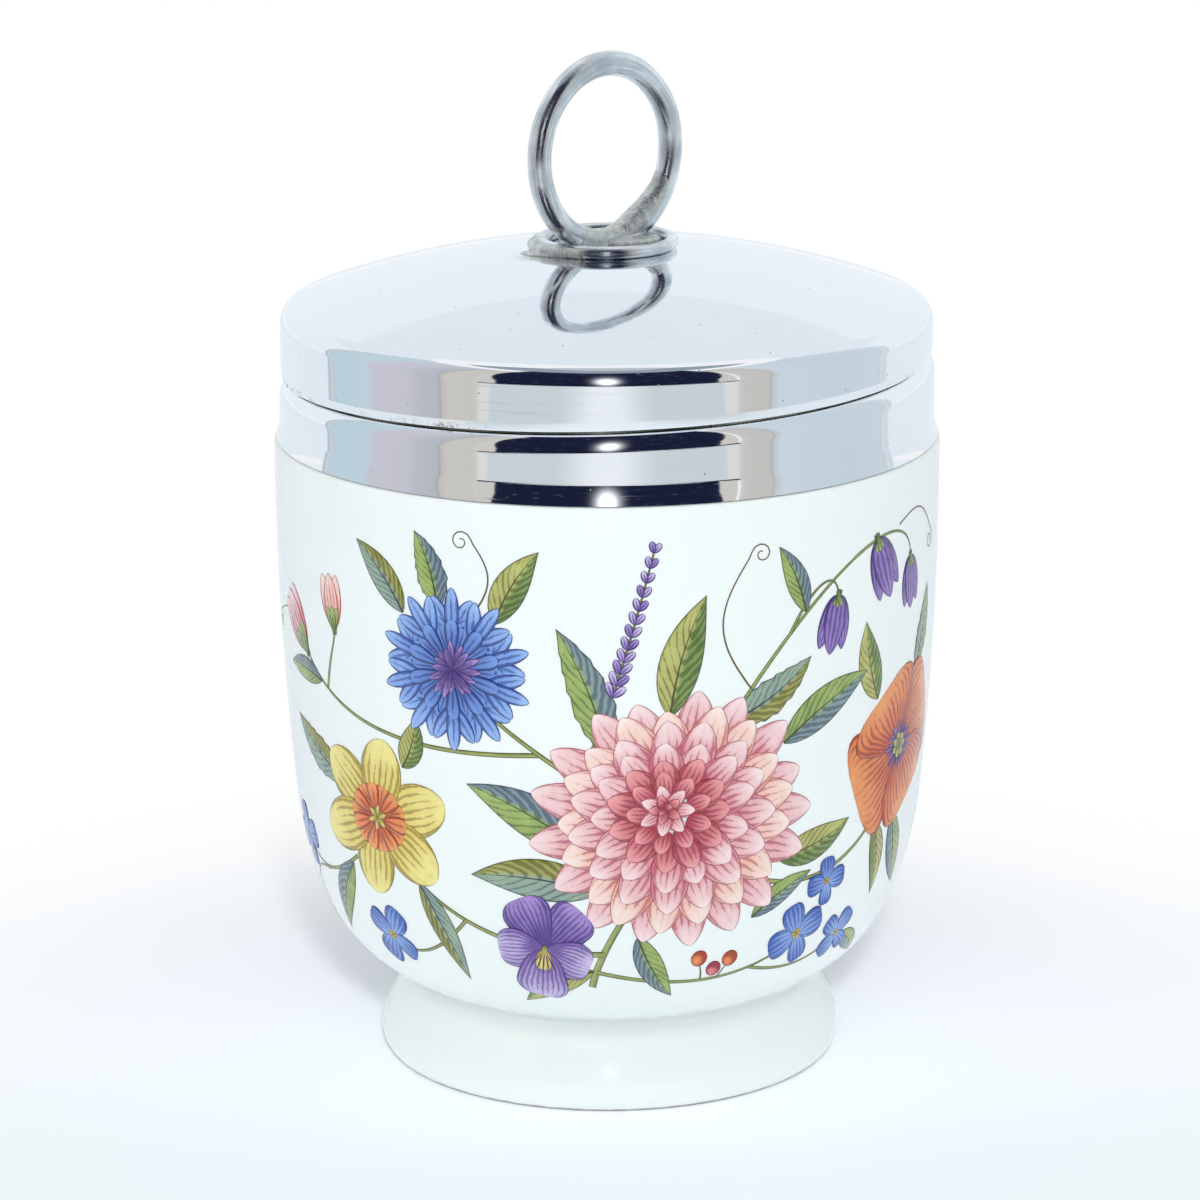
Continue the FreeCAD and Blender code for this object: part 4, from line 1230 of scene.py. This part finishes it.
def wire_ring(name, node, low, high, wire, stand_up, wobble):
    """A ring of round wire between two corners, with the slight unevenness of bending by hand."""
    bpy.ops.object.select_all(action="DESELECT")
    bpy.ops.mesh.primitive_torus_add(
        major_segments=240, minor_segments=40, location=(low + high) / 2,
        rotation=(math.pi / 2, math.pi / 2, 0.0) if stand_up else (0.0, 0.0, math.radians(60.0)),
        major_radius=(high.x - low.x) / 2 - wire / 2 * MM, minor_radius=wire / 2 * MM)
    ring = bpy.context.object
    ring.name = name
    ring.data.name = name
    bpy.ops.object.transform_apply(location=True, rotation=True, scale=True)
    uneven = bpy.data.textures.new(name + "_uneven", "CLOUDS")
    uneven.noise_scale = hand_bend_scale * MM
    apply_modifier(ring, "hand_bent", "DISPLACE", texture=uneven, texture_coords="LOCAL", mid_level=1.0,
                   strength=wobble * MM)
    bpy.ops.object.shade_smooth()
    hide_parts(node)
    return ring


loop = wire_ring("flat_loop", "base_ring", Vector((-loop_outer_radius, -loop_outer_radius, loop_rise)) * MM,
                 Vector((loop_outer_radius, loop_outer_radius, loop_rise)) * MM, loop_wire, False, 0.04)
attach(loop, "base_ring")
lifting_ring = wire_ring("upright_ring", "lifting_ring", *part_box("lifting_ring"), ring_wire, True, 0.05)
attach(lifting_ring, "lid")

ring_low, ring_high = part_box("lifting_ring")
select_only(lifting_ring)
bpy.ops.object.mode_set(mode="EDIT")
bpy.ops.mesh.select_all(action="SELECT")
bpy.ops.transform.resize(value=(1.0, 1.0, ring_stretch), center_override=Vector((0, 0, ring_high.z)))
bpy.ops.mesh.select_all(action="DESELECT")
bpy.ops.object.mode_set(mode="OBJECT")
for vertex in lifting_ring.data.vertices:
    vertex.select = vertex.co.z < ring_seat * MM
bpy.ops.object.mode_set(mode="EDIT")
bpy.ops.transform.resize(value=(1.0, 1.0, 0.0), center_override=Vector((0, 0, ring_seat * MM)))
bpy.ops.object.mode_set(mode="OBJECT")

ring_centre = (ring_low + ring_high) / 2 / MM
ring_bend = (ring_high.x - ring_low.x) / 2 / MM - ring_wire / 2
dome_centre = Vector((0.0, 0.0, dome_top - dome_curve))


def on_dome(right, near, lift):
    """A place on the dome, by millimetres to the right and towards the camera side from its middle."""
    flat_place = camera_right * right + camera_near * near
    height = math.sqrt((dome_curve + lift) ** 2 - flat_place.length_squared)
    return flat_place + dome_centre + Vector((0, 0, height))


def on_ring(angle, inward):
    """A place on the lifting ring's wire, in degrees from its foot towards +X."""
    turn = math.radians(angle)
    place = ring_centre + Vector((math.sin(turn), 0, -math.cos(turn))) * (ring_bend - inward)
    place.z = ring_high.z / MM - (ring_high.z / MM - place.z) * ring_stretch
    return place


def run_between(stations, step):
    """Closely set drops between stations, which are (position, size) pairs, so that the solder runs."""
    drops = []
    for (here, size), (there, next_size) in zip(stations, stations[1:]):
        count = max(1, round((there - here).length / step))
        for i in range(count):
            share = i / count
            drops.append((here.lerp(there, share), Vector(size).lerp(Vector(next_size), share)))
    return drops + [(stations[-1][0], Vector(stations[-1][1]))]


def on_loop(angle, outward, up):
    """A place by the flat loop's wire, in degrees from the right of the camera side round to its front."""
    turn = math.radians(angle)
    bend = loop_outer_radius - loop_wire / 2 + outward
    way = camera_right * math.cos(turn) + camera_near * math.sin(turn)
    return way * bend + Vector((0, 0, loop_rise + up))


solder_drops = run_between([
    (on_ring(-40, 0.0), (1.10, 1.10, 1.10)), (on_ring(-26, 0.02), (1.20, 1.24, 1.20)),
    (on_ring(-12, 0.08), (1.25, 1.32, 1.22)), (on_ring(2, 0.14), (1.26, 1.38, 1.24)),
    (on_ring(12, 0.26), (1.28, 1.40, 1.26)),
    (on_ring(20, 0.45), (1.34, 1.42, 1.30)), (on_ring(30, 0.62), (1.34, 1.40, 1.34)),
    (on_ring(40, 0.62), (1.26, 1.34, 1.26)), (on_ring(50, 0.48), (1.14, 1.26, 1.16)),
    (on_ring(60, 0.32), (1.04, 1.18, 1.06)), (on_ring(74, 0.10), (0.95, 1.00, 0.95)),
], 0.26)
solder_drops += run_between([
    (on_dome(-3.6, 0.8, 0.1), (1.3, 0.9, 0.55)), (on_dome(-1.6, 0.4, 0.1), (1.7, 1.2, 0.65)),
    (on_dome(0.8, -0.1, 0.1), (1.9, 1.4, 0.75)), (on_dome(2.8, -1.0, 0.1), (1.8, 1.5, 0.75)),
    (on_dome(4.3, -1.6, 0.1), (1.7, 1.3, 0.75)),
], 0.45)
solder_drops += run_between([
    (on_loop(92, 0.0, 0.0), (0.62, 0.62, 0.62)), (on_loop(112, 0.0, -0.02), (0.69, 0.70, 0.68)),
    (on_loop(130, 0.08, -0.08), (0.80, 0.80, 0.72)), (on_loop(148, 0.25, -0.2), (1.05, 1.05, 0.76)),
    (on_loop(163, 0.3, -0.25), (1.15, 1.10, 0.78)), (on_loop(177, 0.2, -0.2), (1.10, 1.05, 0.78)),
    (on_loop(192, 0.1, -0.15), (0.95, 0.92, 0.76)), (on_loop(208, 0.0, 0.0), (0.60, 0.60, 0.60)),
], 0.3)
solder_drops += run_between([
    (on_dome(-3.4, 4.9, 0.0), (0.9, 0.7, 0.30)), (on_dome(-5.2, 4.2, 0.0), (1.2, 0.9, 0.38)),
    (on_dome(-6.6, 3.2, -0.05), (1.3, 1.0, 0.36)), (on_dome(-7.6, 2.2, -0.10), (1.1, 0.9, 0.30)),
], 0.4)
bpy.ops.object.select_all(action="DESELECT")
drops = []
for place, radii in solder_drops:
    bpy.ops.mesh.primitive_ico_sphere_add(subdivisions=3, radius=MM, location=place * MM, scale=radii)
    drops.append(bpy.context.object)
for drop in drops:
    drop.select_set(True)
bpy.ops.object.join()
solder = bpy.context.object
solder.name = "run_solder"
solder.data.name = "run_solder"
bpy.ops.object.transform_apply(location=True, rotation=True, scale=True)
apply_modifier(solder, "flow", "REMESH", mode="VOXEL", voxel_size=solder_cell * MM)
lumps = bpy.data.textures.new("solder_lumps", "CLOUDS")
lumps.noise_scale = solder_lump_size * MM
lumps.noise_depth = 2
apply_modifier(solder, "lumpy", "DISPLACE", texture=lumps, texture_coords="LOCAL", mid_level=0.5,
               strength=solder_lump_height * MM)
apply_modifier(solder, "cooled", "SMOOTH", factor=0.5, iterations=5)
bpy.ops.object.shade_smooth()
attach(solder, "lid")
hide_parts("ring_solder")

# Plated drawn wire: greyer and softer than the sheet, with the fine lines that the die leaves along it
# (drawn wider than the real ones).
drawn_wire, wire_tree, wire_shader, wire_place = new_material("plated_drawn_wire")
wire_map = add_node(wire_tree, "SeparateXYZ", {0: add_node(wire_tree, "TexCoord").outputs["UV"]})
wire_turn = add_node(wire_tree, "Math", {0: wire_map.outputs[1], 1: 2 * math.pi}, operation="MULTIPLY")
wire_across = add_node(wire_tree, "Math", {0: wire_turn}, operation="COSINE")
wire_up = add_node(wire_tree, "Math", {0: wire_turn}, operation="SINE")
wire_round = add_node(wire_tree, "CombineXYZ", {0: wire_across, 1: wire_up, 2: wire_map.outputs[0]})
die_place = add_node(wire_tree, "Mapping", {"Vector": wire_round, "Scale": (5.0, 5.0, 14.0)})
die_lines = add_node(wire_tree, "TexNoise", {
    "Vector": die_place, "Scale": 1.0, "Detail": 4.0, "Roughness": 0.65})
wire_bloom = add_node(wire_tree, "TexNoise", {"Vector": wire_place, "Scale": 320.0, "Detail": 4.0})
wire_tone = add_node(wire_tree, "Math", {0: die_lines, 1: wire_bloom}, operation="MULTIPLY")
wire_depth = add_node(wire_tree, "MapRange", {"Value": wire_tone, "From Min": 0.14, "From Max": 0.36})
wire_colour = add_node(wire_tree, "Mix", {0: wire_depth, 6: "#BEC4CA", 7: "#EFF2F4"}, data_type="RGBA")
wire_gloss = add_node(wire_tree, "MapRange", {"Value": wire_depth, "To Min": 0.30, "To Max": 0.13})
wire_bump = add_node(wire_tree, "Bump", {"Height": die_lines, "Strength": 0.7, "Distance": 0.03 * MM})
set_sockets(wire_shader, {
    "Metallic": 1.0, "Base Color": wire_colour, "Roughness": wire_gloss, "Normal": wire_bump})
lifting_ring.data.materials.append(drawn_wire)
loop.data.materials.append(drawn_wire)

# Soft tin-lead solder, chilled in air: pale grey, matt and finely crystalline, a little brighter where it
# was wiped while hot.
soft_solder, solder_tree, solder_shader, solder_place = new_material("soft_solder")
grey_patches = add_node(solder_tree, "TexNoise", {"Vector": solder_place, "Scale": 900.0, "Detail": 4.0})
grey_ramp = add_node(solder_tree, "Mix", {0: grey_patches, 6: "#C4C5BF", 7: "#EEEFEB"}, data_type="RGBA")
fine_grain = add_node(solder_tree, "TexNoise", {"Vector": solder_place, "Scale": 2600.0, "Detail": 3.0})
grain_depth = add_node(solder_tree, "MapRange", {
    "Value": fine_grain, "From Min": 0.35, "From Max": 0.65, "To Min": 0.0, "To Max": 0.45})
grainy_grey = add_node(solder_tree, "Mix", {0: grain_depth, 6: grey_ramp, 7: "#A2A5A6"}, data_type="RGBA")
solder_rough = add_node(solder_tree, "MapRange", {
    "Value": grey_patches, "From Min": 0.3, "From Max": 0.7, "To Min": 0.50, "To Max": 0.30})
crystals = add_node(solder_tree, "TexNoise", {"Vector": solder_place, "Scale": 3000.0, "Detail": 4.0})
solder_bump = add_node(solder_tree, "Bump", {"Height": crystals, "Strength": 0.8, "Distance": 0.10 * MM})
set_sockets(solder_shader, {
    "Metallic": 1.0, "Base Color": grainy_grey, "Roughness": solder_rough, "Normal": solder_bump})
solder.data.materials.append(soft_solder)
